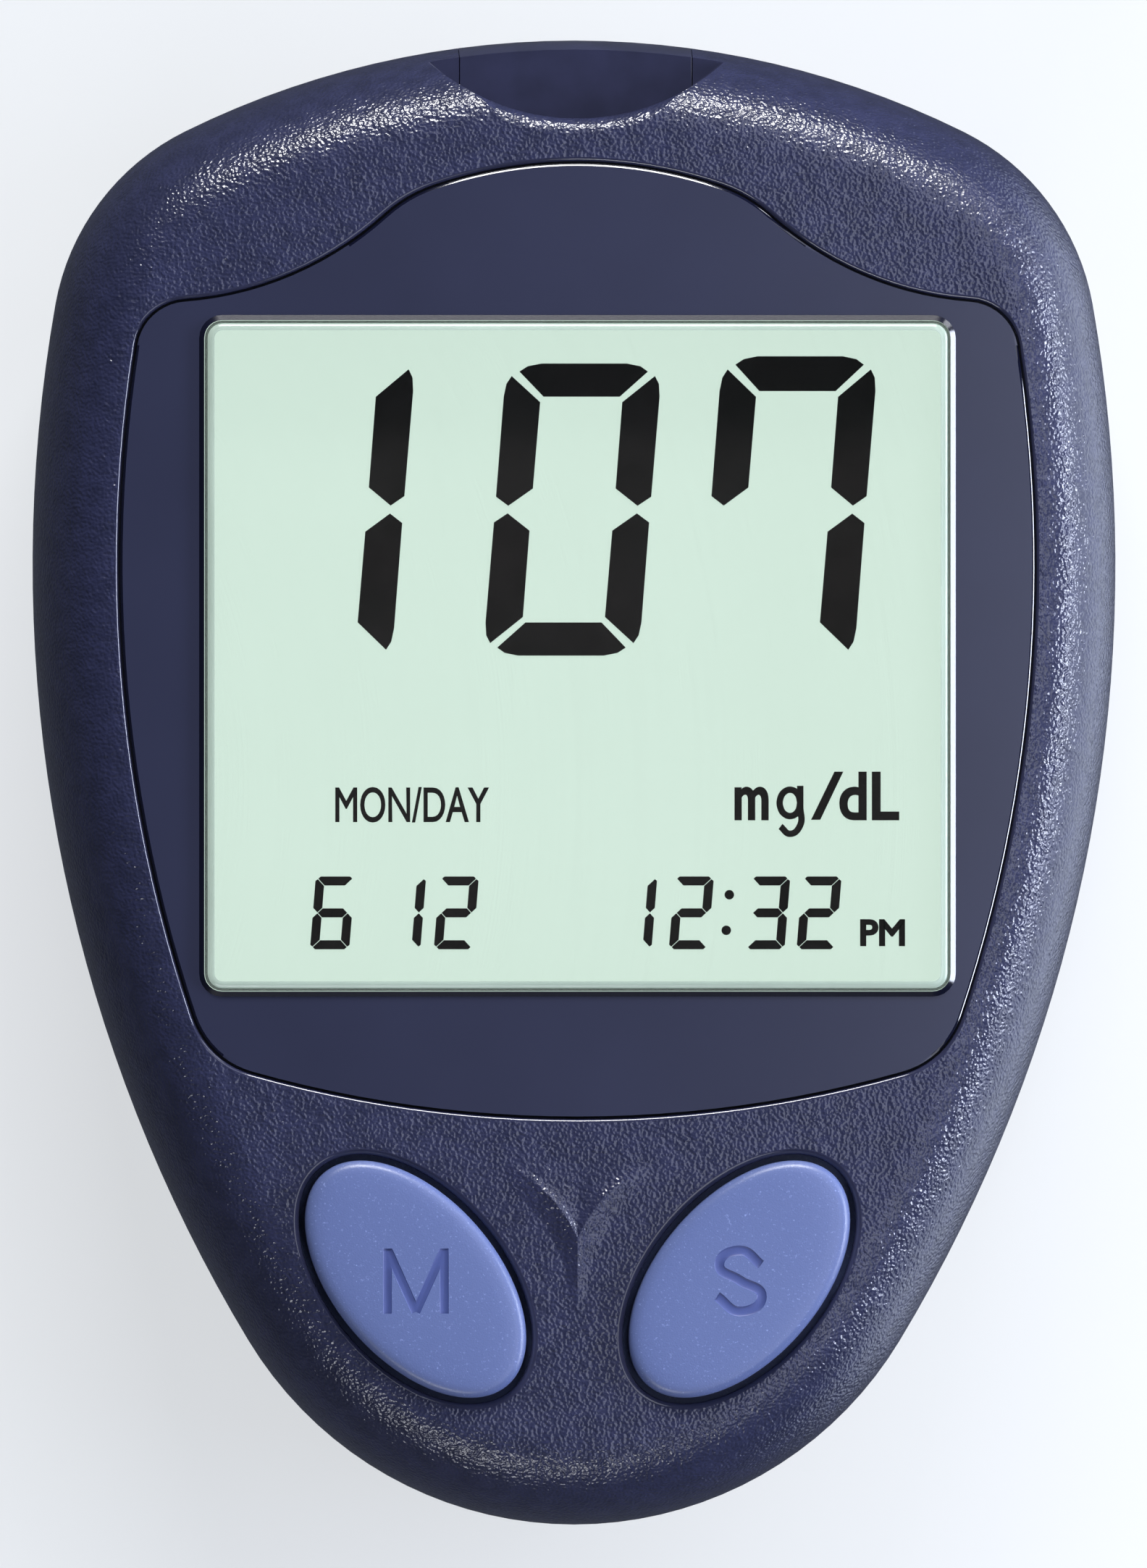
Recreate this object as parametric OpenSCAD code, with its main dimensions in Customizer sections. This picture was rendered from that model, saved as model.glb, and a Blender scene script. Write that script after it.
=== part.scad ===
// Blood glucose meter that lies on its back with the display up.
// Millimetres. +X is right, +Y points to the strip port end and +Z out of the display.
// The origin is the middle of the footprint, on the surface under the rubber feet.

/* [Body] */
// Length from the strip port end to the tail
body_l = 87; // [86.5:0.1:87.5]
// Greatest width
body_w = 63.5; // [63:0.1:64]
// Radius of each long side
side_r = 88; // [86:1:90]
// Where the body is widest, along Y
widest_y = 12.75; // [12.25:0.25:13.25]
// Radius of the strip port end
top_r = 51.5; // [50.5:0.5:52.5]
// Radius of each shoulder corner
shoulder_r = 14; // [13.5:0.5:14.5]
// Height of the flat back above the surface under the feet
back_z = 0.7; // [0.6:0.1:0.8]
// Height of the seam between the two shells
seam_z = 11.8; // [11.7:0.1:11.9]
// Height of the flat front face
face_z = 22; // [21.9:0.1:22.1]
// Wall of both shells
wall = 1.8; // [1.7:0.1:1.9]
// Width of the rounding around the front face
front_round = 5.2; // [5:0.1:5.4]
// Width of the rounding around the back
back_round = 6; // [5.8:0.1:6.1]
// Fullness of both roundings, where 2 is an ellipse
fullness = 2.3; // [2.2:0.1:2.4]

/* [Face plate] */
// Thickness of the plate
plate_t = 1.2; // [1.1:0.1:1.3]
// Gap between the plate and its recess
plate_gap = 0.2; // [0.15:0.01:0.3]
// Distance from the body's side to the plate's side
plate_margin = 5.05; // [4.95:0.05:5.25]
// Highest point of the plate's peak, along Y
plate_top_y = 36.15; // [36:0.05:36.25]
// Radius of the peak
peak_r = 26; // [25.5:0.5:26.5]
// Radius where the peak bends into each flank
crown_r = 8; // [7:0.5:9]
// Radius of each hollow flank
flank_r = 19.7; // [19.4:0.1:20]
// Middle of the flank's circle, along X
flank_x = 24.4; // [24:0.1:24.8]
// Lowest point of the flank, along Y
flank_y = 28.02; // [27.98:0.02:28.1]
// Radius of each upper corner
upper_corner_r = 3; // [2.8:0.1:3.2]
// Radius of each lower corner
lower_corner_r = 5; // [4.5:0.5:5.5]
// Radius of the lower edge
lower_r = 70; // [68:1:72]
// Lowest point of the plate, along Y
plate_bottom_y = -19.8; // [-19.9:0.1:-19.6]

/* [Display] */
// Width of the window
window_w = 43.6; // [43.2:0.1:43.8]
// Height of the window
window_h = 39.2; // [39:0.1:39.3]
// Middle of the window, along Y
window_y = 7.4; // [7.3:0.05:7.4]
// Corner radius of the window
window_r = 1.05; // [0.9:0.05:1.2]
// How far the clear pane stands out of the front face
pane_rise = 0.35; // [0.3:0.05:0.4]
// Width of the bevel around the pane
pane_bevel = 0.34; // [0.3:0.02:0.4]
// Lean of the digits, in degrees
digit_lean = 4.6; // [4:0.1:5]

/* [Keys] */
// Distance of each key from the middle, along X
key_x = 9.46; // [9.4:0.02:9.6]
// Middle of the keys, along Y
key_y = -29; // [-29.1:0.1:-28.9]
// Half length of a key
key_a = 8.2; // [8.1:0.1:8.3]
// Half width of a key
key_b = 4.75; // [4.6:0.05:4.8]
// Angle between a key's long axis and Y, in degrees
key_tilt = 41; // [40:1:42]
// How far a key stands out of the front face
key_rise = 0.9; // [0.8:0.1:1]
// Gap around a key
key_gap = 0.35; // [0.3:0.05:0.4]
// How far a key can be pressed
key_travel = 0.9; // [0.8:0.1:0.9]

/* [Strip port] */
// Radius of the scoop at the front face
scoop_r = 13.3; // [13.1:0.1:13.5]
// Middle of the scoop's circle, along Y
scoop_y = 51.7; // [51.6:0.1:51.9]
// How much the scoop narrows down to its floor
scoop_draft = 0.6; // [0.5:0.1:0.7]
// Depth of the scoop
scoop_depth = 4.6; // [4.5:0.1:4.7]
// Width of the slot that takes a test strip
slot_w = 7.2; // [7:0.1:7.4]
// Height of that slot
slot_h = 1.3; // [1.2:0.1:1.4]
// Width of the port insert
insert_w = 13.6; // [13.4:0.1:13.8]

/* [Battery bay] */
// Radius of an AAA cell
cell_r = 5.25; // [5.15:0.05:5.25]
// Length of an AAA cell with its nub
cell_l = 44.5; // [44.1:0.1:44.5]
// Distance of each cell's axis from the middle
cell_x = 5.6; // [5.5:0.05:5.7]
// Inner width of the bay
bay_w = 23.4; // [23.2:0.1:23.6]
// Inner length of the bay
bay_l = 50; // [49.9:0.1:50.1]
// Inner end of the bay near the tail, along Y
bay_y = -34.2; // [-34.3:0.1:-34.1]
// Half width of the door's visible panel
door_x = 12.6; // [12.5:0.1:12.7]
// Inner end of the door, along Y
door_y = 16.6; // [16.5:0.1:16.7]
// Gap between the door and its channel
door_gap = 0.3; // [0.25:0.05:0.35]

/* [Hidden] */
$fn = 48;
eps = 0.02;
navy = [0.22, 0.23, 0.36];
satin_navy = [0.25, 0.26, 0.41];
periwinkle = [0.44, 0.5, 0.75];
steel = [0.75, 0.75, 0.78];
nickel = [0.8, 0.79, 0.74];
silicone = [0.62, 0.66, 0.8];
mint = [0.83, 0.92, 0.86];

// Levels of the display stack, from the front face down
tape_t = 0.1;
pan_t = 0.9;
pan_z = face_z - plate_t - tape_t;
polariser_t = 0.2;
glass_t = 0.7;
ink_t = 0.1;
reflector_t = 0.25;
lcd_z = pan_z - pan_t - 0.1;
front_glass_z = lcd_z - polariser_t - glass_t;
ink_z = front_glass_z - ink_t;
rear_glass_z = ink_z - glass_t;
reflector_z = rear_glass_z - reflector_t;
pcb_t = 1;
pcb_z = reflector_z - 1.15;
glass_w = window_w + 1.8;
glass_h = window_h + 4;
rear_glass_h = window_h + 1.2;
holder_w = glass_w + 1.6;
holder_h = glass_h + 1.6;
holder_z = lcd_z - 0.1;

// Levels under a key, from the board up
pad_t = 0.05;
pill_t = 0.5;
pill_r = 1.8;
pill_z = pcb_z + pad_t + key_travel + 0.05;
dome_top_t = 0.7;
key_z = pill_z + pill_t + dome_top_t;
ceiling_z = face_z - wall;
flange_t = 0.8;
flange_out = 0.9;
flange_z = ceiling_z - 0.25 - flange_t;
sheet_t = 0.7;
dome_hole_r = 4.75;

// Scoop and strip channel
scoop_z = face_z - scoop_depth;
slot_z = scoop_z + 0.2;
insert_y = scoop_y - scoop_r - wall + 0.1;
connector_y = 31;
connector_l = insert_y - connector_y - 0.4;

// Levels of the battery bay
door_t = 1.6;
door_lip_t = 0.8;
door_flange = 1;
channel_top = back_z + door_t + door_gap;
cell_z = channel_top + 0.3 + cell_r;
bay_top = cell_z + cell_r + 0.3;
bay_wall = 1.6;
bay_end = bay_y + bay_l;
bay_roof = 1.2;
leaf_t = 0.4;
nub_r = 1.9;
nub_l = 0.8;
dimple_t = 0.5;
spring_l = bay_l - 2 * leaf_t - dimple_t - cell_l;
tab_w = 1.6;
foot_r = 3;
foot_sink = 0.4;

// Fasteners: places on the +X side, the other side mirrors them
boss_r = 2.6;
housing_screw_at = [[17, 34], [18.6, -19.2]];
tube_top = 6;
head_seat = 3.2;
foot_at = [[21.5, 22], [18.6, -11]];
side_post_at = [27, 12];
tail_post_y = -38.4;
post_r = 1.9;

// Outline helpers
function arc(c, r, from, to, n) =
    [for (i = [1:n]) let(a = from + (to - from) * i / n) c + r * [cos(a), sin(a)]];
function bearing(from, to) = atan2(to.y - from.y, to.x - from.x);
// Where two circles meet, on the left (side = 1) or the right (side = -1) of the line from c1 to c2
function meet(c1, r1, c2, r2, side) =
    let(d = c2 - c1, l = norm(d), along = (r1 * r1 - r2 * r2 + l * l) / (2 * l))
    c1 + d * along / l + side * sqrt(r1 * r1 - along * along) * [-d.y, d.x] / l;
// The right half of a closed outline, from the top to the bottom, with its mirror image
function both_halves(half) =
    concat(half, [for (i = [len(half) - 2:-1:1]) [-half[i].x, half[i].y]]);

// Body outline: four tangent arcs a side
top_c = [0, body_l / 2 - top_r];
side_c = [body_w / 2 - side_r, widest_y];
shoulder_c = meet(top_c, top_r - shoulder_r, side_c, side_r - shoulder_r, -1);
tail_reach = widest_y + body_l / 2;
tail_r = (side_r * side_r - side_c.x * side_c.x - tail_reach * tail_reach) / (2 * (side_r - tail_reach));
tail_c = [0, tail_r - body_l / 2];

// Points of the body outline, moved inwards by inset
function outline(inset) =
    let(to_shoulder = bearing(top_c, shoulder_c), to_side = bearing(side_c, shoulder_c),
        to_tail = bearing(side_c, tail_c))
    both_halves(concat(
        [top_c + [0, top_r - inset]],
        arc(top_c, top_r - inset, 90, to_shoulder, 6),
        arc(shoulder_c, shoulder_r - inset, to_shoulder, to_side, 8),
        arc(side_c, side_r - inset, to_side, 0, 3),
        arc(side_c, side_r - inset, 0, to_tail, 8),
        arc(tail_c, tail_r - inset, to_tail, -90, 9)));

// Face plate outline: seven tangent arcs a side
plate_side_r = side_r - plate_margin;
peak_c = [0, plate_top_y - peak_r];
flank_c = [flank_x, flank_y + flank_r];
crown_c = meet(peak_c, peak_r - crown_r, flank_c, flank_r + crown_r, 1);
upper_corner_c = meet(side_c, plate_side_r - upper_corner_r, flank_c, flank_r + upper_corner_r, -1);
lower_c = [0, plate_bottom_y + lower_r];
lower_corner_c = meet(side_c, plate_side_r - lower_corner_r, lower_c, lower_r - lower_corner_r, -1);

// Points of the plate outline, moved inwards by inset
function plate_outline(inset) =
    let(to_crown = bearing(peak_c, crown_c), to_flank = bearing(crown_c, flank_c),
        to_corner = bearing(flank_c, upper_corner_c), to_side = bearing(side_c, upper_corner_c),
        to_lower = bearing(side_c, lower_corner_c), to_bottom = bearing(lower_c, lower_corner_c))
    both_halves(concat(
        [peak_c + [0, peak_r - inset]],
        arc(peak_c, peak_r - inset, 90, to_crown, 5),
        arc(crown_c, crown_r - inset, to_crown, to_flank, 3),
        arc(flank_c, flank_r + inset, to_flank - 180, to_corner, 8),
        arc(upper_corner_c, upper_corner_r - inset, to_corner + 180, to_side, 5),
        arc(side_c, plate_side_r - inset, to_side, to_lower, 8),
        arc(lower_corner_c, lower_corner_r - inset, to_lower, to_bottom, 5),
        arc(lower_c, lower_r - inset, to_bottom, -90, 4)));

// Points of an ellipse, clockwise from its top
function ellipse(a, b, tilt) =
    [for (i = [0:$fn - 1]) let(t = 360 * i / $fn, p = [b * sin(t), a * cos(t)])
        [p.x * cos(tilt) - p.y * sin(tilt), p.x * sin(tilt) + p.y * cos(tilt)]];

// Points of a rounded rectangle centred on the origin, clockwise
function round_rect(w, h, r) =
    [for (q = [0:3]) for (i = [0:4]) let(a = 90 - 90 * q - 22.5 * i)
        [(q < 2 ? 1 : -1) * (w / 2 - r), (q == 0 || q == 3 ? 1 : -1) * (h / 2 - r)]
            + r * [cos(a), sin(a)]];

// A closed solid through rings of points; each level is [points, height]
module skin(levels) {
    n = len(levels[0][0]);
    last = len(levels) - 1;
    polyhedron(
        points = [for (l = levels) for (p = l[0]) [p.x, p.y, l[1]]],
        faces = concat(
            [[for (i = [n - 1:-1:0]) i]],
            [for (j = [0:last - 1]) for (i = [0:n - 1])
                [j * n + i, j * n + (i + 1) % n, (j + 1) * n + (i + 1) % n, (j + 1) * n + i]],
            [[for (i = [0:n - 1]) last * n + i]]));
}

// The inset and the rise along a rounding of the given width and height
function rounding(width, height, t) =
    [width * (1 - pow(cos(t), 2 / fullness)), height * pow(sin(t), 2 / fullness)];

// Solid dome from the seam outwards; thick moves it inwards all over, up is 1 or -1
module dome(width, end_z, thick, up, steps) {
    height = abs(end_z - seam_z) - thick;
    start = thick > 0 ? [[outline(thick), seam_z - up]] : [];
    levels = concat(start, [for (k = [0:steps])
        let(r = rounding(width, height, 90 * k / steps))
        [outline(thick + r[0]), seam_z + up * r[1]]]);
    skin(up > 0 ? levels : [for (i = [len(levels) - 1:-1:0]) levels[i]]);
}

module front_skin() {
    dome(front_round, face_z, 0, 1, 8);
}

module back_skin() {
    dome(back_round, back_z, 0, -1, 8);
}

module on_both_sides() {
    for (side = [0, 1]) mirror([side, 0, 0]) children();
}

module up_to(z) {
    translate([0, 0, z]) children();
}

module block(x, y, z) {
    translate([x[0], y[0], z[0]]) cube([x[1] - x[0], y[1] - y[0], z[1] - z[0]]);
}

module prism(points, low, high) {
    up_to(low) linear_extrude(height = high - low) polygon(points);
}

module window_prism(extra, low, high) {
    translate([0, window_y, 0])
        prism(round_rect(window_w + extra, window_h + extra, window_r), low, high);
}

// A rectangular slab of the display stack
module slab(w, h, low, t) {
    block([-w / 2, w / 2], [window_y - h / 2, window_y + h / 2], [low, low + t]);
}

module key_place(side) {
    translate([side * key_x, key_y, 0]) children();
}

module scoop_cylinder(extra, low, high) {
    translate([0, scoop_y, low]) cylinder(h = high - low, r = scoop_r + extra);
}

// Shells

module front_shell() {
    difference() {
        front_skin();
        difference() {
            dome(front_round, face_z, wall, 1, 5);
            prism(plate_outline(-plate_gap - 1.2), pan_z - pan_t, face_z);
            scoop_cylinder(wall, scoop_z - wall, face_z);
        }
    }
}

module front_bosses() {
    on_both_sides() {
        for (p = housing_screw_at)
            translate([p.x, p.y, tube_top + 0.2])
                cylinder(h = ceiling_z + 0.3 - tube_top - 0.2, r = boss_r);
        translate([side_post_at.x, side_post_at.y, pcb_z])
            cylinder(h = ceiling_z - pcb_z + 0.3, r = post_r);
    }
    translate([0, tail_post_y, pcb_z]) cylinder(h = ceiling_z - pcb_z + 0.3, r = post_r);
}

module front_housing() {
    color(navy) difference() {
        union() {
            front_shell();
            front_bosses();
        }
        prism(plate_outline(-plate_gap), pan_z, face_z + 1);
        window_prism(0.2, pan_z - 2, pan_z + 1);
        slab(holder_w + 0.3, holder_h + 0.3, pcb_z, holder_z + 0.1 - pcb_z);
        for (side = [-1, 1]) key_place(side) {
            prism(ellipse(key_a + key_gap, key_b + key_gap, -side * key_tilt), ceiling_z - 1, face_z + 1);
            prism(ellipse(key_a + flange_out + 0.3, key_b + flange_out + 0.3, -side * key_tilt),
                pcb_z + sheet_t, ceiling_z);
        }
        translate([0, scoop_y, scoop_z])
            cylinder(h = scoop_depth + eps, r1 = scoop_r - scoop_draft, r2 = scoop_r);
        block([-insert_w / 2 - 0.15, insert_w / 2 + 0.15], [insert_y - 0.3, body_l / 2 + 1],
            [seam_z - 1, scoop_z]);
        block([-slot_w / 2, slot_w / 2], [insert_y - 1, scoop_y - scoop_r + 1], [slot_z, slot_z + slot_h]);
        on_both_sides() {
            for (p = housing_screw_at)
                translate([p.x, p.y, tube_top]) cylinder(h = 8, r = 1.02);
            translate([side_post_at.x, side_post_at.y, pcb_z - 1]) cylinder(h = 3.4, r = 0.72);
        }
        translate([0, tail_post_y, pcb_z - 1]) cylinder(h = 3.4, r = 0.72);
    }
}

module back_shell() {
    difference() {
        back_skin();
        difference() {
            dome(back_round, back_z, wall, -1, 5);
            block([-bay_w / 2 - bay_wall - 2.2, bay_w / 2 + bay_wall + 2.2],
                [-body_l / 2, bay_end + bay_wall], [back_z, channel_top + 1.2]);
            block([-bay_w / 2 - bay_wall, bay_w / 2 + bay_wall], [bay_y - bay_wall, bay_end + bay_wall],
                [back_z, seam_z + 2]);
            on_both_sides() for (p = housing_screw_at)
                translate([p.x, p.y, 0]) cylinder(h = tube_top, r = boss_r + 1.3);
        }
    }
}

// The T-shaped section that the door fills and its channel leaves free
module door_prism(gap, end_y) {
    lip = back_z + door_lip_t - gap;
    top = back_z + door_t + gap;
    inner = door_x + gap;
    outer = door_x + door_flange + gap;
    translate([0, end_y, 0]) rotate([90, 0, 0]) linear_extrude(height = body_l)
        polygon([[-inner, 0], [inner, 0], [inner, lip], [outer, lip], [outer, top],
            [-outer, top], [-outer, lip], [-inner, lip]]);
}

module rear_housing() {
    color(navy) difference() {
        union() {
            back_shell();
            block([-bay_w / 2 - bay_wall, bay_w / 2 + bay_wall], [bay_y - bay_wall, bay_end + bay_wall],
                [seam_z - 1, bay_top + bay_roof]);
        }
        block([-bay_w / 2, bay_w / 2], [bay_y, bay_end], [channel_top - 1, bay_top]);
        door_prism(door_gap, door_y + door_gap);
        on_both_sides() {
            for (p = housing_screw_at) translate([p.x, p.y, 0]) {
                cylinder(h = head_seat, r = boss_r);
                cylinder(h = tube_top + 1, r = 1.15);
            }
            for (p = foot_at) translate([p.x, p.y, 0]) cylinder(h = back_z + foot_sink, r = foot_r + 0.1);
            block([cell_x - tab_w / 2 - 0.2, cell_x + tab_w / 2 + 0.2], [bay_end - leaf_t - 0.1, bay_end],
                [bay_top - 1, bay_top + bay_roof + 1]);
        }
    }
}

module battery_door() {
    ridge_pitch = 1.6;
    color(navy) difference() {
        intersection() {
            back_skin();
            door_prism(0, door_y);
        }
        for (i = [0:5])
            block([-7, 7], [door_y - 4 - i * ridge_pitch, door_y - 3.2 - i * ridge_pitch],
                [back_z - 1, back_z + 0.35]);
    }
}

module strip_port_insert() {
    color(satin_navy) intersection() {
        front_skin();
        block([-insert_w / 2, insert_w / 2], [insert_y, body_l / 2 + 1], [seam_z + 0.2, scoop_z - eps]);
    }
}

// Face plate and display

module face_plate() {
    rim = 0.36;
    color(satin_navy) difference() {
        union() {
            prism(plate_outline(0), pan_z + tape_t, face_z);
            window_prism(2 * rim, pan_z + 2 * tape_t, face_z + 0.15);
        }
        window_prism(0, pan_z, face_z + 1);
        window_prism(1.4, pan_z, pan_z + 0.5);
    }
}

module face_plate_tape() {
    color("ivory") difference() {
        prism(plate_outline(0.2), pan_z, pan_z + tape_t);
        window_prism(1.4, pan_z - 1, pan_z + 1);
    }
}

module display_window() {
    play = 0.05;
    w = window_w - 2 * play;
    h = window_h - 2 * play;
    color(mint, 0.35) {
        translate([0, window_y, 0]) skin([
            [round_rect(w, h, window_r), pan_z],
            [round_rect(w, h, window_r), face_z + pane_rise - 0.2],
            [round_rect(w - 2 * pane_bevel, h - 2 * pane_bevel, window_r - pane_bevel), face_z + pane_rise]]);
        window_prism(1.2, pan_z, pan_z + 0.45);
    }
}

module lcd_polariser() {
    color(mint) slab(window_w + 1.2, window_h + 1.2, lcd_z - polariser_t, polariser_t);
}

module lcd_front_glass() {
    color("lightcyan") slab(glass_w, glass_h, front_glass_z, glass_t);
}

module lcd_rear_glass() {
    color("lightcyan") slab(glass_w, rear_glass_h, rear_glass_z, glass_t);
}

module lcd_reflector() {
    color("silver") slab(window_w + 1.2, window_h + 1.2, reflector_z, reflector_t);
}

// Seven-segment digits. A digit is w wide and h high with bars of thickness t, and the letters
// a to g name its lit bars, clockwise from the top with g in the middle.
function bar_points(mid, l, t, upright) =
    [for (p = [[-l, 0], [t - l, t], [l - t, t], [l, 0], [l - t, -t], [t - l, -t]])
        let(q = mid + (upright ? [-p.y, p.x] : p) / 2)
        [q.x + q.y * tan(digit_lean), q.y]];

module digit(lit, w, h, t, space) {
    x = (w - t) / 2;
    y = (h - t) / 2;
    across = w - t - space;
    down = y - space;
    for (s = lit) {
        if (s == "a") polygon(bar_points([0, y], across, t, false));
        if (s == "b") polygon(bar_points([x, y / 2], down, t, true));
        if (s == "c") polygon(bar_points([x, -y / 2], down, t, true));
        if (s == "d") polygon(bar_points([0, -y], across, t, false));
        if (s == "e") polygon(bar_points([-x, -y / 2], down, t, true));
        if (s == "f") polygon(bar_points([-x, y / 2], down, t, true));
        if (s == "g") polygon(bar_points([0, 0], across, t, false));
    }
}

lit_bars = ["abcdef", "bc", "abged", "abgcd", "fgbc", "afgcd", "afgecd", "abcf", "abcdefg", "abcdfg"];

// Digits in a row: each entry is [digit, middle along X]
module digit_row(entries, y, w, h, t, space) {
    for (e = entries)
        translate([e[1], y, 0]) linear_extrude(height = ink_t)
            digit(lit_bars[e[0]], w, h, t, space);
}

module lcd_segments() {
    color("black") up_to(ink_z) {
        digit_row([[1, -14.8], [0, -0.4], [7, 12.25]], 16.2, 8.85, 17.1, 1.95, 0.5);
        digit_row([[6, -14.5], [1, -10.1], [2, -7.1], [1, 3.45], [2, 6.4], [3, 11.25], [2, 14.15]],
            -7.65, 2, 4.2, 0.47, 0.1);
        for (y = [-6.55, -8.65]) translate([8.8, y, 0]) cylinder(h = ink_t, r = 0.23);
    }
}

module lcd_holder() {
    color("white") difference() {
        slab(holder_w, holder_h, pcb_z, holder_z - pcb_z);
        slab(glass_w + 0.2, glass_h + 0.2, front_glass_z, 2);
        slab(glass_w + 0.2, rear_glass_h + 0.2, reflector_z, 2);
        slab(window_w - 4, window_h - 4, pcb_z - 1, 3);
        for (end = [-1, 1]) zebra_slot(end, 0.1, pcb_z - 1, 4);
    }
}

module zebra_slot(end, gap, low, t) {
    translate([0, end * (glass_h + rear_glass_h) / 4, 0]) slab(40 + 2 * gap, 1.2 + 2 * gap, low, t);
}

module zebra_strips() {
    color("dimgray") for (end = [-1, 1]) zebra_slot(end, 0, pcb_z, front_glass_z - pcb_z);
}

// Board and what it carries

module main_pcb() {
    color("darkgreen") difference() {
        prism(outline(3.1), pcb_z - pcb_t, pcb_z);
        scoop_cylinder(wall + 0.3, pcb_z - 2, pcb_z + 2);
        block([-insert_w / 2 - 0.5, insert_w / 2 + 0.5], [insert_y - 0.6, body_l / 2], [pcb_z - 2, pcb_z + 2]);
        on_both_sides() {
            for (p = housing_screw_at) translate([p.x, p.y, pcb_z - 2]) cylinder(h = 4, r = boss_r + 0.3);
            translate([side_post_at.x, side_post_at.y, pcb_z - 2]) cylinder(h = 4, r = 0.9);
        }
        translate([0, tail_post_y, pcb_z - 2]) cylinder(h = 4, r = 0.9);
    }
}

module contact_pads() {
    color("gold") for (side = [-1, 1]) key_place(side) for (half = [-1, 1]) intersection() {
        up_to(pcb_z) cylinder(h = pad_t, r = 2.2);
        block([half > 0 ? 0.15 : -3, half > 0 ? 3 : -0.15], [-3, 3], [pcb_z - 1, pcb_z + 1]);
    }
}

module microcontroller() {
    body = 8;
    pins = 10;
    color("black") translate([21, -2, pcb_z - pcb_t]) {
        block([-body / 2, body / 2], [-body / 2, body / 2], [-1.5, -0.15]);
        for (turn = [0, 90, 180, 270]) rotate([0, 0, turn])
            for (i = [0:pins - 1])
                translate([(i - (pins - 1) / 2) * 0.7, 0, 0])
                    block([-0.15, 0.15], [body / 2 - 0.1, body / 2 + 0.9], [-0.25, 0]);
    }
}

module pcb_components() {
    chip = [2, 1.2, 0.8];
    color("tan") {
        for (i = [0:5]) translate([17 + 2.9 * (i % 3), 7 + 2.4 * floor(i / 3), pcb_z - pcb_t - chip.z])
            cube(chip);
        for (i = [0:3]) translate([-20 - 2.9 * (i % 2), -9 - 2.4 * floor(i / 2), pcb_z - pcb_t - chip.z])
            cube(chip);
        for (i = [0:2]) translate([-20 + 2.9 * i, 18.4, pcb_z - pcb_t - chip.z]) cube(chip);
    }
}

module crystal() {
    color(steel) translate([20, 15, pcb_z - pcb_t - 1.1]) rotate([-90, 0, 0]) cylinder(h = 6, r = 1);
}

module buzzer() {
    color("black") translate([-21, 4, pcb_z - pcb_t - 3]) difference() {
        cylinder(h = 3, r = 5.5);
        up_to(-1) cylinder(h = 2, r = 0.8);
    }
}

module strip_connector() {
    color("ivory") difference() {
        block([-6, 6], [connector_y, connector_y + connector_l], [pcb_z, pcb_z + 3]);
        block([-slot_w / 2 - 0.05, slot_w / 2 + 0.05], [connector_y + 0.8, insert_y],
            [slot_z - 0.05, slot_z + slot_h + 0.05]);
    }
}

module strip_contacts() {
    leaf_l = connector_l - 1.6;
    roof = slot_z + slot_h;
    color("gold") for (i = [-1.5:1.5])
        translate([i * 1.7 + 0.25, connector_y + 0.9, roof])
            rotate([90, 0, -90]) linear_extrude(height = 0.5)
                polygon([[0, 0], [0, -0.15], [-leaf_l * 0.6, -0.6], [-leaf_l, -0.25], [-leaf_l, -0.1],
                    [-leaf_l * 0.6, -0.4]]);
}

// Keys

module key(side) {
    tilt = -side * key_tilt;
    top = face_z + key_rise;
    color(periwinkle) key_place(side) {
        skin([
            [ellipse(key_a, key_b, tilt), flange_z],
            [ellipse(key_a, key_b, tilt), top - 0.75],
            [ellipse(key_a - 0.18, key_b - 0.18, tilt), top - 0.3],
            [ellipse(key_a - 0.6, key_b - 0.6, tilt), top - 0.05],
            [ellipse(key_a - 1.2, key_b - 1.2, tilt), top]]);
        prism(ellipse(key_a + flange_out, key_b + flange_out, tilt), flange_z, flange_z + flange_t);
        up_to(key_z) cylinder(h = flange_z - key_z, r = 2.5);
    }
}

module m_button() {
    key(-1);
}

module s_button() {
    key(1);
}

// Silicone dome: foot ring on the board, thin web and a flat top under the key
module key_dome(side) {
    foot_r_in = 3.9;
    top_z = key_z - dome_top_t;
    color(silicone) key_place(side) rotate_extrude()
        polygon([[foot_r_in, pcb_z], [dome_hole_r - 0.25, pcb_z], [dome_hole_r - 0.25, pcb_z + sheet_t],
            [2.9, key_z - 0.1], [2.7, key_z], [0, key_z], [0, top_z], [2.3, top_z],
            [foot_r_in, pcb_z + sheet_t - 0.3]]);
}

module m_key_dome() {
    key_dome(-1);
}

module s_key_dome() {
    key_dome(1);
}

module contact_pill(side) {
    color("black") key_place(side) up_to(pill_z) cylinder(h = pill_t, r = pill_r);
}

module m_contact_pill() {
    contact_pill(-1);
}

module s_contact_pill() {
    contact_pill(1);
}

module keypad_sheet() {
    color(silicone) difference() {
        intersection() {
            prism(outline(4.6), pcb_z, pcb_z + sheet_t);
            block([-20, 20], [-37.4, -22.1], [pcb_z - 1, pcb_z + 2]);
        }
        for (side = [-1, 1]) key_place(side) up_to(pcb_z - 1) cylinder(h = 3, r = dome_hole_r);
        translate([0, tail_post_y, pcb_z - 1]) cylinder(h = 3, r = post_r + 0.3);
    }
}

// Batteries and their contacts. nub is 1 where the cell's nub points to +Y and -1 where to -Y.
module cell(x, nub) {
    nub_tip = nub > 0 ? bay_end - leaf_t - dimple_t : bay_y + leaf_t + dimple_t;
    color("silver") translate([x, nub_tip, cell_z]) rotate([nub * 90, 0, 0]) {
        up_to(nub_l) cylinder(h = cell_l - nub_l, r = cell_r);
        cylinder(h = nub_l, r = nub_r);
    }
}

module battery_left() {
    cell(-cell_x, -1);
}

module battery_right() {
    cell(cell_x, 1);
}

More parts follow.
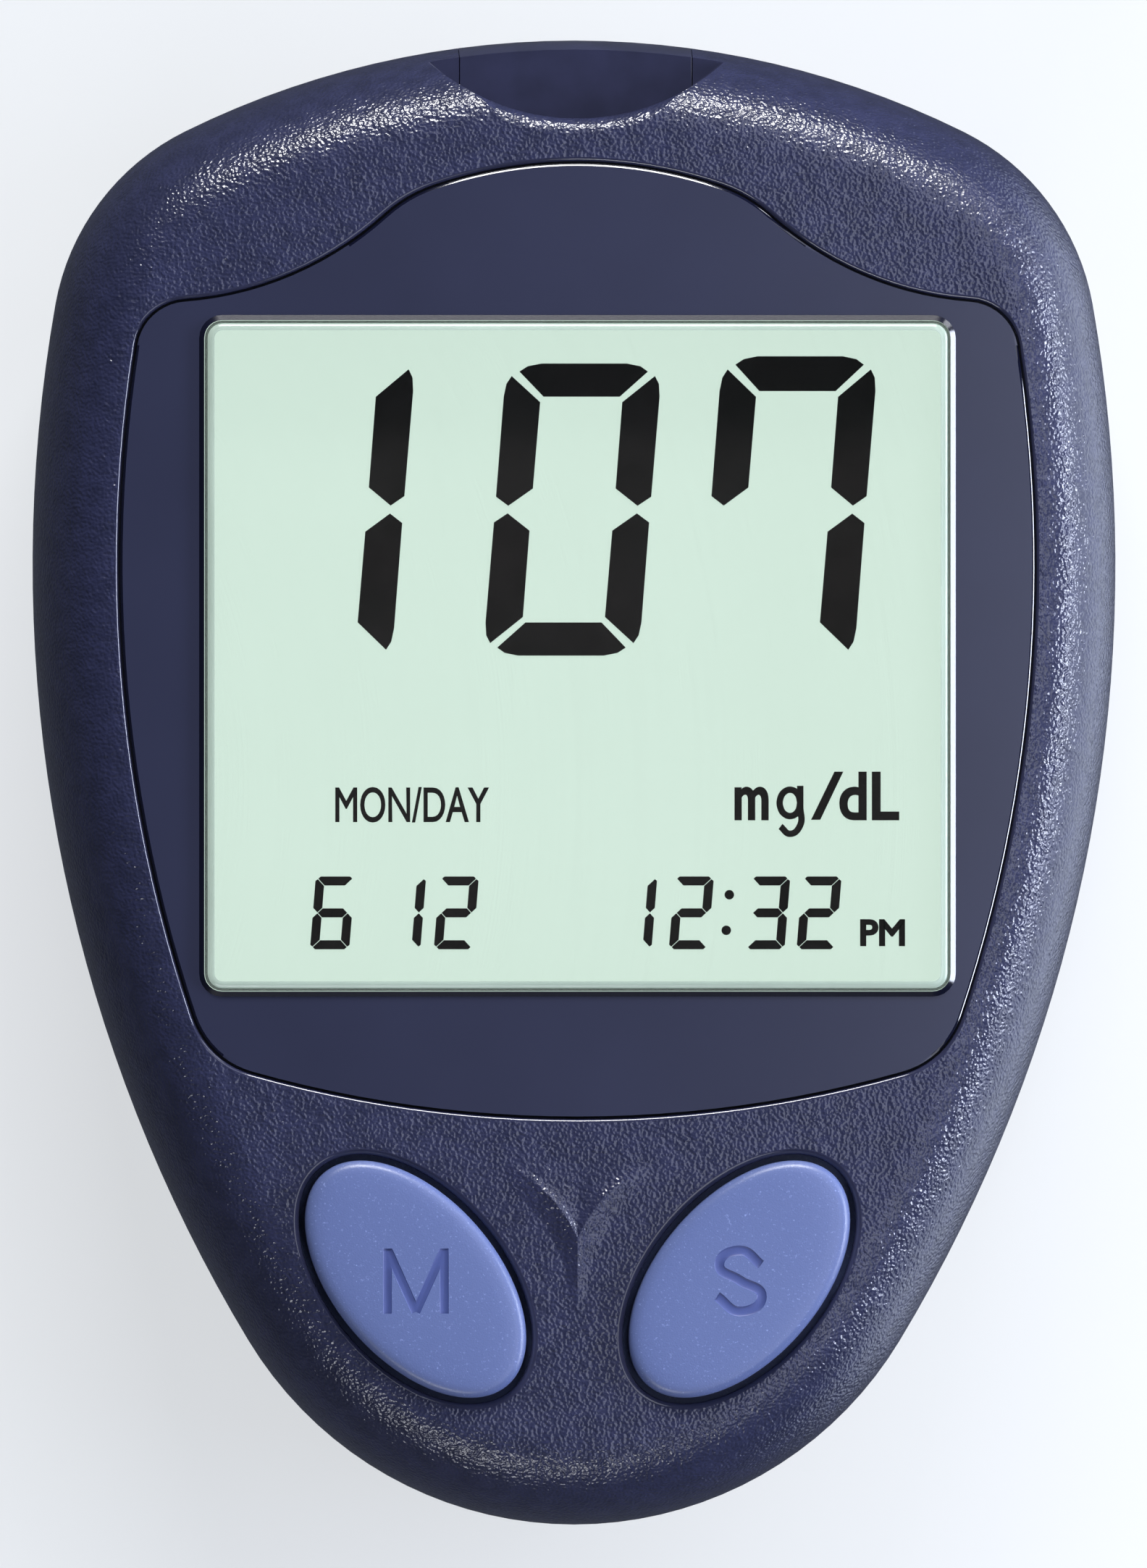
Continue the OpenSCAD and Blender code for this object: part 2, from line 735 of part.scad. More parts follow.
// Conical compression spring along +Z, wide at its foot
module coil(length) {
    turns = 4;
    wire = 0.3;
    per_turn = 20;
    sides = 8;
    steps = turns * per_turn;
    points = [for (k = [0:steps]) for (s = [0:sides - 1])
        let(f = k / steps, r = 3.6 - 1.2 * f + wire * cos(360 * s / sides), a = 360 * k / per_turn)
        [r * cos(a), r * sin(a), wire + (length - 2 * wire) * f + wire * sin(360 * s / sides)]];
    walls = [for (k = [0:steps - 1]) for (s = [0:sides - 1])
        let(t = (s + 1) % sides)
        [k * sides + s, (k + 1) * sides + s, (k + 1) * sides + t, k * sides + t]];
    polyhedron(points = points, faces = concat(
        [[for (s = [0:sides - 1]) s]], walls, [[for (s = [sides - 1:-1:0]) steps * sides + s]]));
}

module battery_link_spring() {
    color(nickel) translate([cell_x, bay_y + leaf_t, cell_z]) rotate([-90, 0, 0]) coil(spring_l - eps);
}

module negative_spring() {
    color(nickel) translate([-cell_x, bay_end - leaf_t, cell_z]) rotate([90, 0, 0]) coil(spring_l - eps);
}

module battery_link() {
    color(nickel) {
        block([-bay_w / 2 + 0.4, bay_w / 2 - 0.4], [bay_y, bay_y + leaf_t], [cell_z - 4.2, cell_z + 4.2]);
        translate([-cell_x, bay_y + leaf_t + dimple_t, cell_z]) rotate([90, 0, 0])
            cylinder(h = dimple_t + eps, r = 1.4);
    }
}

// Leaf at the inner end of the bay with a tab up to the board
module end_leaf(x) {
    block([x - 4.2, x + 4.2], [bay_end - leaf_t, bay_end], [cell_z - 4.2, cell_z + 4.2]);
    block([x - tab_w / 2, x + tab_w / 2], [bay_end - leaf_t, bay_end], [cell_z, pcb_z - pcb_t]);
}

module positive_contact() {
    color(nickel) {
        end_leaf(cell_x);
        translate([cell_x, bay_end - leaf_t + eps, cell_z]) rotate([90, 0, 0])
            cylinder(h = dimple_t + eps, r = 1.4);
    }
}

module negative_contact() {
    color(nickel) end_leaf(-cell_x);
}

// Fasteners and feet. A screw's head hangs below its seat and its shank stands above it.
module screw(head_r, head_h, shank_r, shank_l) {
    difference() {
        up_to(-head_h) cylinder(h = head_h, r = head_r);
        for (turn = [0, 90]) rotate([0, 0, turn])
            block([-head_r * 0.55, head_r * 0.55], [-head_r * 0.12, head_r * 0.12],
                [-head_h - 1, -head_h * 0.45]);
    }
    cylinder(h = shank_l, r = shank_r);
}

module housing_screws() {
    color(steel) on_both_sides() for (p = housing_screw_at)
        translate([p.x, p.y, head_seat]) screw(2.2, 1.4, 1, 9);
}

module pcb_screws() {
    color(steel) {
        on_both_sides() translate([side_post_at.x, side_post_at.y, pcb_z - pcb_t]) screw(1.4, 0.8, 0.7, 3);
        translate([0, tail_post_y, pcb_z - pcb_t]) screw(1.4, 0.8, 0.7, 3);
    }
}

module rubber_feet() {
    color("dimgray") on_both_sides() for (p = foot_at)
        translate([p.x, p.y, 0]) cylinder(h = back_z + foot_sink, r = foot_r);
}

front_housing();
rear_housing();
face_plate();
face_plate_tape();
display_window();
lcd_polariser();
lcd_front_glass();
lcd_segments();
lcd_rear_glass();
lcd_reflector();
lcd_holder();
zebra_strips();
main_pcb();
microcontroller();
pcb_components();
crystal();
buzzer();
contact_pads();
strip_connector();
strip_contacts();
strip_port_insert();
keypad_sheet();
m_button();
s_button();
m_key_dome();
s_key_dome();
m_contact_pill();
s_contact_pill();
battery_door();
battery_left();
battery_right();
battery_link();
battery_link_spring();
positive_contact();
negative_contact();
negative_spring();
housing_screws();
pcb_screws();
rubber_feet();
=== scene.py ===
# %% [markdown]
# # A blood glucose meter
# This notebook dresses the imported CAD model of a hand-held blood glucose meter. The meter lies on its
# back with the display up, the strip port points to +Y and the sizes in the cells are millimetres.
# Everything that moves (two keys and the battery door) already has its joint, so each piece made here
# only says which body it rides on.

# %% Load the frame
import math

import bmesh
import bpy
from mathutils import Matrix, Vector


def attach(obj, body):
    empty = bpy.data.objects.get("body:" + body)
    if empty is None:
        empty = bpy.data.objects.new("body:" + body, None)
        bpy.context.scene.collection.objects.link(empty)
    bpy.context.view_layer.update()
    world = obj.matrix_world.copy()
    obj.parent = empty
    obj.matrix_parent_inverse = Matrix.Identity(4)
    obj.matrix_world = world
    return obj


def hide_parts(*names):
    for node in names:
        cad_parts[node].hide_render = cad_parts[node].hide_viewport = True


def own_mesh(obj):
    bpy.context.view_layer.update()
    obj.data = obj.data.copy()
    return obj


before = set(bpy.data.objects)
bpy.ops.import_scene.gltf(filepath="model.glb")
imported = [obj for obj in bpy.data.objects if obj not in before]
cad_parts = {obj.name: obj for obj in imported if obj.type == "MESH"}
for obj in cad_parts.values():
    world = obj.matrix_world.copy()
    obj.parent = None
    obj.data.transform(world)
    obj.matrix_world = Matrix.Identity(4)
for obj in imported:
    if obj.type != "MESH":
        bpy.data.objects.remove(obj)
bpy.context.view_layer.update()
MM = 0.001
print("nodes:", len(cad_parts))

# %% [markdown]
# ## Materials
# A colour is written as the hex value that a paint card shows, and one function turns it into the linear
# values that a shader adds up. One more function adds a node with its settings and its links, so each
# material below reads as a short list of what its surface does.

# %% Colour and node helpers
def linear(code):
    """The linear colour of an sRGB hex code."""
    parts = [int(code[i : i + 2], 16) / 255 for i in (0, 2, 4)]
    return (*[p / 12.92 if p <= 0.04045 else ((p + 0.055) / 1.055) ** 2.4 for p in parts], 1)


def add(tree, kind, **given):
    """Adds a node; each keyword is one of its settings, or an input that gets a value or a link."""
    made = tree.nodes.new("ShaderNode" + kind)
    for name, value in given.items():
        socket = made.inputs.get(name.replace("_", " "))
        if hasattr(made, name):
            setattr(made, name, value)
        elif isinstance(value, bpy.types.NodeSocket):
            tree.links.new(value, socket)
        else:
            socket.default_value = value
    return made


def per_mm(size):
    """Texture scale at which one cell of a pattern is this many millimetres wide."""
    return 1 / (size * MM)


def surface(name, **constants):
    """A new material: its node tree, its shader with those constants, and the object coordinates."""
    made = bpy.data.materials.new(name)
    made.use_nodes = True
    tree = made.node_tree
    shader = tree.nodes["Principled BSDF"]
    for key, value in constants.items():
        shader.inputs[key.replace("_", " ")].default_value = value
    place = add(tree, "TexCoord").outputs["Object"]
    return made, tree, shader, place


def coloured(tree, shader, texture, colours, spots=(0.35, 0.65)):
    """Lets a texture blend two hex colours over the surface, between two of its values."""
    ramp = add(tree, "ValToRGB", Fac=texture.outputs["Fac"])
    for stop, spot, colour in zip(ramp.color_ramp.elements, spots, colours):
        stop.position = spot
        stop.color = linear(colour)
    tree.links.new(ramp.outputs["Color"], shader.inputs["Base Color"])


def roughened(tree, shader, texture, rough, **ends):
    """Lets the roughness wander between two values with a texture."""
    wander = add(tree, "MapRange", Value=texture.outputs["Fac"], To_Min=rough[0], To_Max=rough[1], **ends)
    tree.links.new(wander.outputs["Result"], shader.inputs["Roughness"])


# %% [markdown]
# ### Moulded surfaces
# Most pieces are injection moulded. What the eye sees is the steel of the mould: polished steel leaves
# gloss, spark erosion leaves small pits, and the plastic itself is never one flat colour. A mottle of two
# near colours, a roughness that wanders a little and a bump of the right grain cover all of them.

# %% Plain moulded plastic, rubber and paint
def moulded(name, dark, light, grain, relief, rough, mottle=2.5, spots=(0.35, 0.65), **constants):
    """Two near colours in patches of mottle width, and a grain of that width and relief, in millimetres."""
    made, tree, shader, place = surface(name, **constants)
    patches = add(tree, "TexNoise", Vector=place, Scale=per_mm(mottle), Detail=3.0)
    grains = add(tree, "TexNoise", Vector=place, Scale=per_mm(grain), Detail=2.0)
    coloured(tree, shader, patches, (dark, light), spots)
    roughened(tree, shader, grains, rough)
    relief_node = add(tree, "Bump", Height=grains.outputs["Fac"], Strength=0.6, Distance=relief * MM)
    tree.links.new(relief_node.outputs["Normal"], shader.inputs["Normal"])
    return made


def spark_eroded(name, dark, light, pebble, relief):
    """Spark-eroded ABS: a soft sheen from fine pits, and over it pebbles whose glossy crests glint.

    The coat layer carries that second, sharper gloss.
    """
    gloss = dict(IOR=1.5, Specular_IOR_Level=0.25, Coat_Weight=0.62, Coat_Roughness=0.07)
    made, tree, shader, place = surface(name, **gloss)
    clouds = add(tree, "TexNoise", Vector=place, Scale=per_mm(pebble * 4), Detail=2.0)
    crests = add(tree, "TexNoise", Vector=place, Scale=per_mm(pebble * 0.62), Detail=0.5)
    pits = add(tree, "TexVoronoi", Vector=place, Scale=per_mm(pebble), feature="SMOOTH_F1")
    # The pits take away from the height of the crests
    mixed = add(tree, "Math", operation="MULTIPLY_ADD")
    tree.links.new(pits.outputs["Distance"], mixed.inputs[0])
    mixed.inputs[1].default_value = -0.4
    tree.links.new(crests.outputs["Fac"], mixed.inputs[2])
    coloured(tree, shader, clouds, (dark, light))
    roughened(tree, shader, crests, (0.4, 0.3), From_Min=0.35, From_Max=0.7)
    relief_node = add(tree, "Bump", Height=mixed.outputs["Value"], Strength=1.0, Distance=relief * MM)
    tree.links.new(relief_node.outputs["Normal"], shader.inputs["Normal"])
    tree.links.new(relief_node.outputs["Normal"], shader.inputs["Coat Normal"])
    return made


def bright_metal(name, tone, line, rough):
    """Stamped or drawn metal: fine lines along Y in its tone and its roughness."""
    made, tree, shader, place = surface(name, Metallic=1.0)
    stretched = add(tree, "Mapping", Vector=place, Scale=(1, 0.08, 1))
    lines = add(tree, "TexNoise", Vector=stretched.outputs["Vector"], Scale=per_mm(line), Detail=3.0)
    coloured(tree, shader, lines, tone)
    roughened(tree, shader, lines, rough)
    return made


def clear(name, tint, alpha, rough):
    """Acrylic, film and glass: a low alpha lets nearly all light pass; a polished edge has a high one."""
    made, tree, shader, place = surface(name, IOR=1.49, Alpha=alpha)
    haze = add(tree, "TexNoise", Vector=place, Scale=per_mm(6), Detail=1.0)
    coloured(tree, shader, haze, tint)
    roughened(tree, shader, haze, rough)
    return made


housing_abs = spark_eroded("spark-eroded_ABS", "20233B", "262944", 0.3, 0.082)
plain_abs = moulded("polished_ABS", "26283C", "2B2D44", 0.12, 0.002, (0.09, 0.14))
plate_abs = moulded(
    "satin_ABS", "202338", "23263C", 0.1, 0.002, (0.29, 0.33), mottle=14, Specular_IOR_Level=0.6
)
# The plate's cut edge and the window's rim are a near-black copy of the plate's blue: painted shade that
# darkens the lines along the gap and round the window; their gloss is real.
plate_edge_painted_shade = moulded("polished_plate_edge_painted_shade", "06081A", "0A0C1E", 0.1, 0.001, (0.07, 0.11), mottle=14)
window_rim_painted_shade = moulded("satin_window_rim_painted_shade", "06081A", "0A0C1E", 0.1, 0.001, (0.18, 0.22), mottle=14)
# The lighter specks in the keys' colour are painted glints that stand in for the sparkle of their face.
key_plastic = moulded(
    "polycarbonate_painted_sparkle", "54618E", "8492C4", 0.1, 0.018, (0.3, 0.44), mottle=0.14, spots=(0.62, 0.82)
)
# The grooves of the letters are a darker blue than the keys.
darker_letter_groove = moulded("letter_recess", "354176", "3A477E", 0.09, 0.006, (0.4, 0.55))
acrylic = clear("clear_acrylic", ("1C2420", "242E29"), 0.03, (0.02, 0.06))
acrylic_edge = clear("polished_acrylic_edge", ("8E9E94", "98A89E"), 0.7, (0.12, 0.2))
# The steep part of the pane's edge is a darker copy of the polished edge: painted shade.
acrylic_steep_painted_shade = clear("polished_acrylic_steep_painted_shade", ("2A332E", "333C37"), 0.85, (0.12, 0.2))
polariser_film = clear("polariser_film", ("20261F", "282F28"), 0.03, (0.3, 0.4))
glass = clear("display_glass", ("1E2622", "262F2A"), 0.02, (0.02, 0.05))
# The mint glass glows: painted light, not a lamp, that evens out the display and fills the shade that the
# window's frame casts on it.
painted_glow = dict(mottle=9, Emission_Color=linear("D3EADC"), Emission_Strength=1.075)
mint_glass = moulded("mint_glass_painted_glow", "202421", "262A27", 0.05, 0.001, (0.5, 0.6), **painted_glow)
ink = moulded("liquid_crystal_dark", "120E0E", "181414", 0.2, 0.001, (0.6, 0.7), Specular_IOR_Level=0.1)
foil = bright_metal("reflector_foil", ("C8CCC8", "D8DCD8"), 0.2, (0.25, 0.4))
white_plastic = moulded("white_polycarbonate", "D9DAD6", "E4E5E1", 0.15, 0.01, (0.45, 0.55))
ivory_plastic = moulded("ivory_nylon", "D8CFB4", "E2DAC2", 0.15, 0.01, (0.45, 0.6))
elastomer = moulded("conductive_elastomer", "3C3C3E", "4A4A4C", 0.18, 0.02, (0.6, 0.75))
tape = moulded("adhesive_foam_tape", "14161E", "1C1F29", 0.08, 0.02, (0.7, 0.85))
board_mask = moulded("solder_mask", "0F3D22", "14502C", 0.3, 0.01, (0.25, 0.4))
chip_epoxy = moulded("moulding_epoxy", "18181A", "222224", 0.1, 0.01, (0.5, 0.65))
chip_ceramic = moulded("chip_ceramic", "A8906A", "B89E76", 0.2, 0.01, (0.4, 0.55))
silicone = moulded("silicone_rubber", "8C96BC", "98A2C8", 0.15, 0.01, (0.45, 0.6))
carbon = moulded("carbon_pill", "1C1C1E", "262628", 0.1, 0.02, (0.7, 0.85))
foot_rubber = moulded("foot_rubber", "26262A", "303034", 0.12, 0.02, (0.65, 0.8))
steel = bright_metal("zinc_plated_steel", ("A9ACB2", "C3C6CB"), 0.15, (0.25, 0.4))
nickel = bright_metal("nickel_plate", ("B9B4A6", "CFCABB"), 0.12, (0.2, 0.35))
gold = bright_metal("gold_flash", ("C9A24A", "DDB95E"), 0.12, (0.2, 0.32))
jacket = moulded("cell_jacket_film", "35588C", "3A6098", 0.4, 0.005, (0.2, 0.3), mottle=5)
print("materials:", len(bpy.data.materials))

# %% [markdown]
# ## Tracing an outline
# A mould maker draws the body as circle arcs that flow into each other without a corner. The same can be
# done with one point: spin it about the centre of the first arc, carry on from where it stopped about the
# next centre, and mirror the chain. Two circles that touch a third one inside need its centre, and that
# is where two helper circles meet.

# %% Tangent circles
def meet(c1, r1, c2, r2, side):
    """Where two circles meet, on the left (1) or the right (-1) of the line from c1 to c2."""
    c1, c2 = Vector(c1), Vector(c2)
    apart = c2 - c1
    along = (r1 * r1 - r2 * r2 + apart.length_squared) / (2 * apart.length)
    across = side * math.sqrt(r1 * r1 - along * along)
    return c1 + (apart * along + Vector((-apart.y, apart.x)) * across) / apart.length


def bearing(start, end):
    """Direction from one point to another, in degrees."""
    return math.degrees(math.atan2(end[1] - start[1], end[0] - start[0]))


BODY_L = 87
BODY_W = 63.5
SIDE_R = 88
TOP_R = 51.5
SHOULDER_R = 14
WIDEST_Y = 12.75
side_c = Vector((BODY_W / 2 - SIDE_R, WIDEST_Y))
top_c = Vector((0, BODY_L / 2 - TOP_R))
shoulder_c = meet(top_c, TOP_R - SHOULDER_R, side_c, SIDE_R - SHOULDER_R, -1)
tail_reach = side_c.y + BODY_L / 2
tail_r = (SIDE_R**2 - side_c.x**2 - tail_reach**2) / (2 * (SIDE_R - tail_reach))
tail_c = Vector((0, tail_r - BODY_L / 2))

# Each arc of the right half: centre, first bearing, last bearing, steps
to_shoulder = bearing(top_c, shoulder_c)
to_side = bearing(side_c, shoulder_c)
to_tail = bearing(side_c, tail_c)
BODY_ARCS = [
    (top_c, 90, to_shoulder, 14),
    (shoulder_c, to_shoulder, to_side, 16),
    (side_c, to_side, to_tail, 34),
    (tail_c, to_tail, -90, 18),
]
print("tail radius:", round(tail_r, 2))

# The plate's side runs parallel to the body's, and its other arcs are its own
MARGIN = 5.05
PLATE_SIDE_R = SIDE_R - MARGIN
PLATE_TOP = 36.15
PLATE_BOTTOM = -19.5
PEAK_R = 26
CROWN_R = 8
FLANK_R = 19.7
FLANK_LOW = (24.4, 28.02)
UPPER_R = 3
LOWER_R = 5
BOTTOM_R = 70
peak_c = Vector((0, PLATE_TOP - PEAK_R))
flank_c = Vector((FLANK_LOW[0], FLANK_LOW[1] + FLANK_R))
crown_c = meet(peak_c, PEAK_R - CROWN_R, flank_c, FLANK_R + CROWN_R, 1)
upper_c = meet(side_c, PLATE_SIDE_R - UPPER_R, flank_c, FLANK_R + UPPER_R, -1)
bottom_c = Vector((0, PLATE_BOTTOM + BOTTOM_R))
lower_c = meet(side_c, PLATE_SIDE_R - LOWER_R, bottom_c, BOTTOM_R - LOWER_R, -1)
PLATE_ARCS = [
    (peak_c, 90, bearing(peak_c, crown_c), 10),
    (crown_c, bearing(peak_c, crown_c), bearing(crown_c, flank_c), 6),
    (flank_c, bearing(crown_c, flank_c) - 180, bearing(flank_c, upper_c), 14),
    (upper_c, bearing(flank_c, upper_c) + 180, bearing(side_c, upper_c), 10),
    (side_c, bearing(side_c, upper_c), bearing(side_c, lower_c), 24),
    (lower_c, bearing(side_c, lower_c), bearing(bottom_c, lower_c), 10),
    (bottom_c, bearing(bottom_c, lower_c), -90, 12),
]

# %% Rings and lofts
def outline_ring(bm, arcs, top_y, z):
    """One closed ring at height z, from top_y on: a point spun round each arc, and its mirror image."""
    known = set(bm.verts)
    last = bm.verts.new((0, top_y, z))
    for centre, start, end, steps in arcs:
        turn = (end - start + 180) % 360 - 180
        spun = bmesh.ops.spin(
            bm, geom=[last], cent=(*centre, z), axis=(0, 0, 1), angle=math.radians(turn), steps=steps
        )
        last = spun["geom_last"][0]
    half = [v for v in bm.verts if v not in known]
    edges = {e for v in half for e in v.link_edges}
    bmesh.ops.mirror(bm, geom=half + list(edges), axis="X", merge_dist=1e-4)
    return list({e for v in bm.verts if v not in known for e in v.link_edges})


def ellipse_ring(bm, half_length, half_width, tilt, centre, z, steps=96):
    """One elliptical ring; tilt turns its long axis from Y, anticlockwise, in degrees."""
    place = Matrix.Translation((*centre, z)) @ Matrix.Rotation(math.radians(tilt), 4, "Z")
    made = bmesh.ops.create_circle(bm, segments=steps, radius=1, matrix=Matrix())
    size = Matrix.Diagonal((half_width, half_length, 1, 1))
    bmesh.ops.transform(bm, matrix=place @ size, verts=made["verts"])
    return list({e for v in made["verts"] for e in v.link_edges})


def loft(rings, bm):
    """Joins each ring to the next and closes both ends."""
    for below, above in zip(rings, rings[1:]):
        bmesh.ops.bridge_loops(bm, edges=below + above)
    for end in (rings[0], rings[-1]):
        bmesh.ops.contextual_create(bm, geom=end)
    bmesh.ops.recalc_face_normals(bm, faces=bm.faces)
    return bm


# %% [markdown]
# Straight openings are cut with blocks. What is round is turned: a profile is spun round an upright axis.
# A shape that the meter has on both sides is made once and mirrored.

# %% Blocks and turned shapes
def new_points(extruded):
    """The points among what an extrusion made."""
    return [part for part in extruded["geom"] if isinstance(part, bmesh.types.BMVert)]


def block(half_width, y, z):
    """A box that reaches as far to the left as to the right, between the low and high values of y and z."""
    bm = bmesh.new()
    sides = Matrix.Diagonal((2 * half_width, y[1] - y[0], z[1] - z[0], 1))
    middle = Matrix.Translation((0, (y[0] + y[1]) / 2, (z[0] + z[1]) / 2))
    bmesh.ops.create_cube(bm, size=1, matrix=middle @ sides)
    return bm


def bevel(bm, edges, offset, segments, material=-1):
    """Rounds the given edges."""
    bmesh.ops.bevel(
        bm, geom=edges, offset=offset, segments=segments, profile=0.5, affect="EDGES", material=material
    )


def upright_edges(bm):
    """The edges of a block that run along Z."""
    return [e for e in bm.edges if abs(e.verts[0].co.z - e.verts[1].co.z) > 0.01]


def turned(profile, centre=(0, 0), steps=64):
    """A turned shape: the profile [(radius, z), ...] spun round a vertical axis."""
    bm = bmesh.new()
    points = [bm.verts.new((r, 0, z)) for r, z in profile]
    edges = [bm.edges.new(pair) for pair in zip(points, points[1:])]
    bmesh.ops.spin(
        bm, geom=points + edges, cent=(0, 0, 0), axis=(0, 0, 1), angle=math.tau, steps=steps, use_merge=True
    )
    bmesh.ops.remove_doubles(bm, verts=bm.verts, dist=1e-4)
    bmesh.ops.translate(bm, vec=(*centre, 0), verts=bm.verts)
    bmesh.ops.recalc_face_normals(bm, faces=bm.faces)
    return bm


def round_bar(centre, r, low, high, steps=32):
    """An upright cylinder."""
    return turned([(0, low), (r, low), (r, high), (0, high)], centre, steps)


def on_sides(bm):
    """The shape together with its mirror image on the other side."""
    bmesh.ops.mirror(bm, geom=bm.verts[:] + bm.edges[:] + bm.faces[:], axis="X", merge_dist=1e-5)
    bmesh.ops.recalc_face_normals(bm, faces=bm.faces)
    return bm


# %% [markdown]
# ## Cutting one shape with another
# Openings that cross a rounded wall, such as the scoop at the strip port, are what a cutter does to a
# blank. An exact Boolean does the same to two meshes, and the cutter's own rounded lip leaves the soft
# edge that a moulding has.

# %% Boolean and piece helpers
MOST_FINISHES = 3


def in_scene(name, data):
    """A new object in the scene."""
    made = bpy.data.objects.new(name, data)
    bpy.context.scene.collection.objects.link(made)
    return made


def carve(blank, cutter, how="DIFFERENCE", crosses_itself=False):
    """The first shape after a Boolean with the second, which is used up."""
    halves = []
    for shape in (blank, cutter):
        mesh = bpy.data.meshes.new("shape")
        shape.to_mesh(mesh)
        shape.free()
        # Empty slots keep the material numbers of the faces through the Boolean
        for _ in range(MOST_FINISHES):
            mesh.materials.append(None)
        halves.append(in_scene("shape", mesh))
    tool = halves[0].modifiers.new("carve", "BOOLEAN")
    tool.object = halves[1]
    tool.operation = how
    tool.solver = "EXACT"
    tool.use_self = crosses_itself
    result = bmesh.new()
    graph = bpy.context.evaluated_depsgraph_get()
    evaluated = halves[0].evaluated_get(graph)
    result.from_mesh(evaluated.to_mesh())
    for holder in halves:
        bpy.data.meshes.remove(holder.data)
    return result


def piece(name, bm, finishes, body, stands_for=(), sharp=32, weighted=True):
    """Turns a shape in millimetres into a finished piece in metres that rides on a body."""
    bmesh.ops.remove_doubles(bm, verts=bm.verts, dist=2e-4)
    bmesh.ops.scale(bm, vec=(MM, MM, MM), verts=bm.verts)
    mesh = bpy.data.meshes.new(name)
    bm.to_mesh(mesh)
    bm.free()
    for finish in finishes:
        mesh.materials.append(finish)
    mesh.shade_smooth()
    mesh.set_sharp_from_angle(angle=math.radians(sharp))
    made = in_scene(name, mesh)
    if weighted:
        even = made.modifiers.new("even shading", "WEIGHTED_NORMAL")
        even.keep_sharp = True
    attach(made, body)
    if stands_for:
        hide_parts(*stands_for)
    second = sum(face.material_index == 1 for face in mesh.polygons)
    print(name, len(mesh.polygons), "faces,", second, "of them in the second finish")
    return made


# %% [markdown]
# ## The two shells
# Seen from the side each shell is a dome: nearly upright at the seam and flat at the top, on a curve a
# little fuller than an ellipse. The dome is lofted through parallel outlines. Its cavity is the same dome
# one wall further in, which is how a shell is drawn before its ribs and openings are added.

# %% Dome
SEAM_Z = 11.8
FACE_Z = 22
LEDGE = 0.4
BACK_Z = 0.7
WALL = 1.8
FULLNESS = 2.3
FRONT_ROUND = 5.2
BACK_ROUND = 6
SEAM_GROOVE = 0.12


def dome(width, end_z, thick=0, steps=18):
    """A dome from the seam to end_z, rounded over the given width, and moved inwards by thick."""
    bm = bmesh.new()
    up = 1 if end_z > SEAM_Z else -1
    height = abs(end_z - SEAM_Z) - thick
    top_y = BODY_L / 2
    if thick:
        rings = [outline_ring(bm, BODY_ARCS, top_y - thick, SEAM_Z - up * 0.5)]
    else:
        rings = [outline_ring(bm, BODY_ARCS, top_y - SEAM_GROOVE, SEAM_Z + up * 0.01)]
        rings.append(outline_ring(bm, BODY_ARCS, top_y - 0.02, SEAM_Z + up * SEAM_GROOVE))
    for k in range(1, steps + 1):
        t = math.radians(90 * k / steps)
        inset = thick + width * (1 - max(math.cos(t), 0) ** (2 / FULLNESS))
        rise = height * math.sin(t) ** (2 / FULLNESS)
        rings.append(outline_ring(bm, BODY_ARCS, top_y - inset, SEAM_Z + up * rise))
    return loft(rings, bm)


# %% Cutters for the front shell
PAN_Z = 20.7
PLATE_GAP = 0.12
WINDOW_W = 43.6
WINDOW_H = 39.2
WINDOW_Y = 7.4
WINDOW_R = 1.05
KEY_X = 9.46
KEY_Y = -29
KEY_A = 8.2
KEY_B = 4.75
KEY_TILT = 41
KEY_GAP = 0.35
FLANGE_OUT = 0.9
FLANGE_Z = 19.15
FLANGE_T = 0.8
SCOOP_R = 12.9
SCOOP_Y = 51.7
SCOOP_Z = 17.4
SCOOP_WALL = 2.2
INSERT_W = 13.6
INSERT_Y = 36.7
CAVITY_Z = 17
PAST_PORT = 45
# A lip ends this far above the face, so that no cutter shares a plane with it
PROUD = 0.004


def lip(radius, steps=6):
    """Steps of a rounded lip: (how far out, how far below the rim)."""
    turns = [math.radians(90 * k / steps) for k in range(steps + 1)]
    return [(radius * (1 - math.cos(t)), radius * (1 - math.sin(t))) for t in turns]


def chamfer(width, steep=39, soft=27):
    """Steps of a cut edge, with its two slopes in degrees: (how far in, how far below the top)."""
    low, high = width * 0.47, width * 0.53
    fall = high * math.tan(math.radians(soft))
    return [(0, fall + low * math.tan(math.radians(steep))), (low, fall), (width, 0)]


def smooth_cut(bm):
    """Marks the walls that a cutter leaves behind with the second finish of the piece."""
    for face in bm.faces:
        face.material_index = 1
    return bm


def plate_recess(rim=0.3):
    """The place for the face plate, a hairline larger than the plate, with a rounded lip."""
    bm = bmesh.new()
    top_y = PLATE_TOP + PLATE_GAP
    rings = [outline_ring(bm, PLATE_ARCS, top_y, PAN_Z)]
    rings += [outline_ring(bm, PLATE_ARCS, top_y + out, FACE_Z + PROUD - down) for out, down in lip(rim)]
    rings.append(outline_ring(bm, PLATE_ARCS, top_y + rim, FACE_Z + 1))
    return smooth_cut(loft(rings, bm))


def key_ring(bm, side, out, z):
    """A ring round the left (-1) or right (1) key, so far outside the edge of its cap."""
    return ellipse_ring(bm, KEY_A + out, KEY_B + out, -side * KEY_TILT, (side * KEY_X, KEY_Y), z)


def key_opening(side, rim=0.4):
    """The opening that a key moves in, with a rounded lip."""
    bm = bmesh.new()
    edge = [(out, FACE_Z + PROUD - down) for out, down in lip(rim)]
    levels = [(0, CAVITY_Z)] + edge + [(rim, FACE_Z + 1)]
    return smooth_cut(loft([key_ring(bm, side, KEY_GAP + out, z) for out, z in levels], bm))


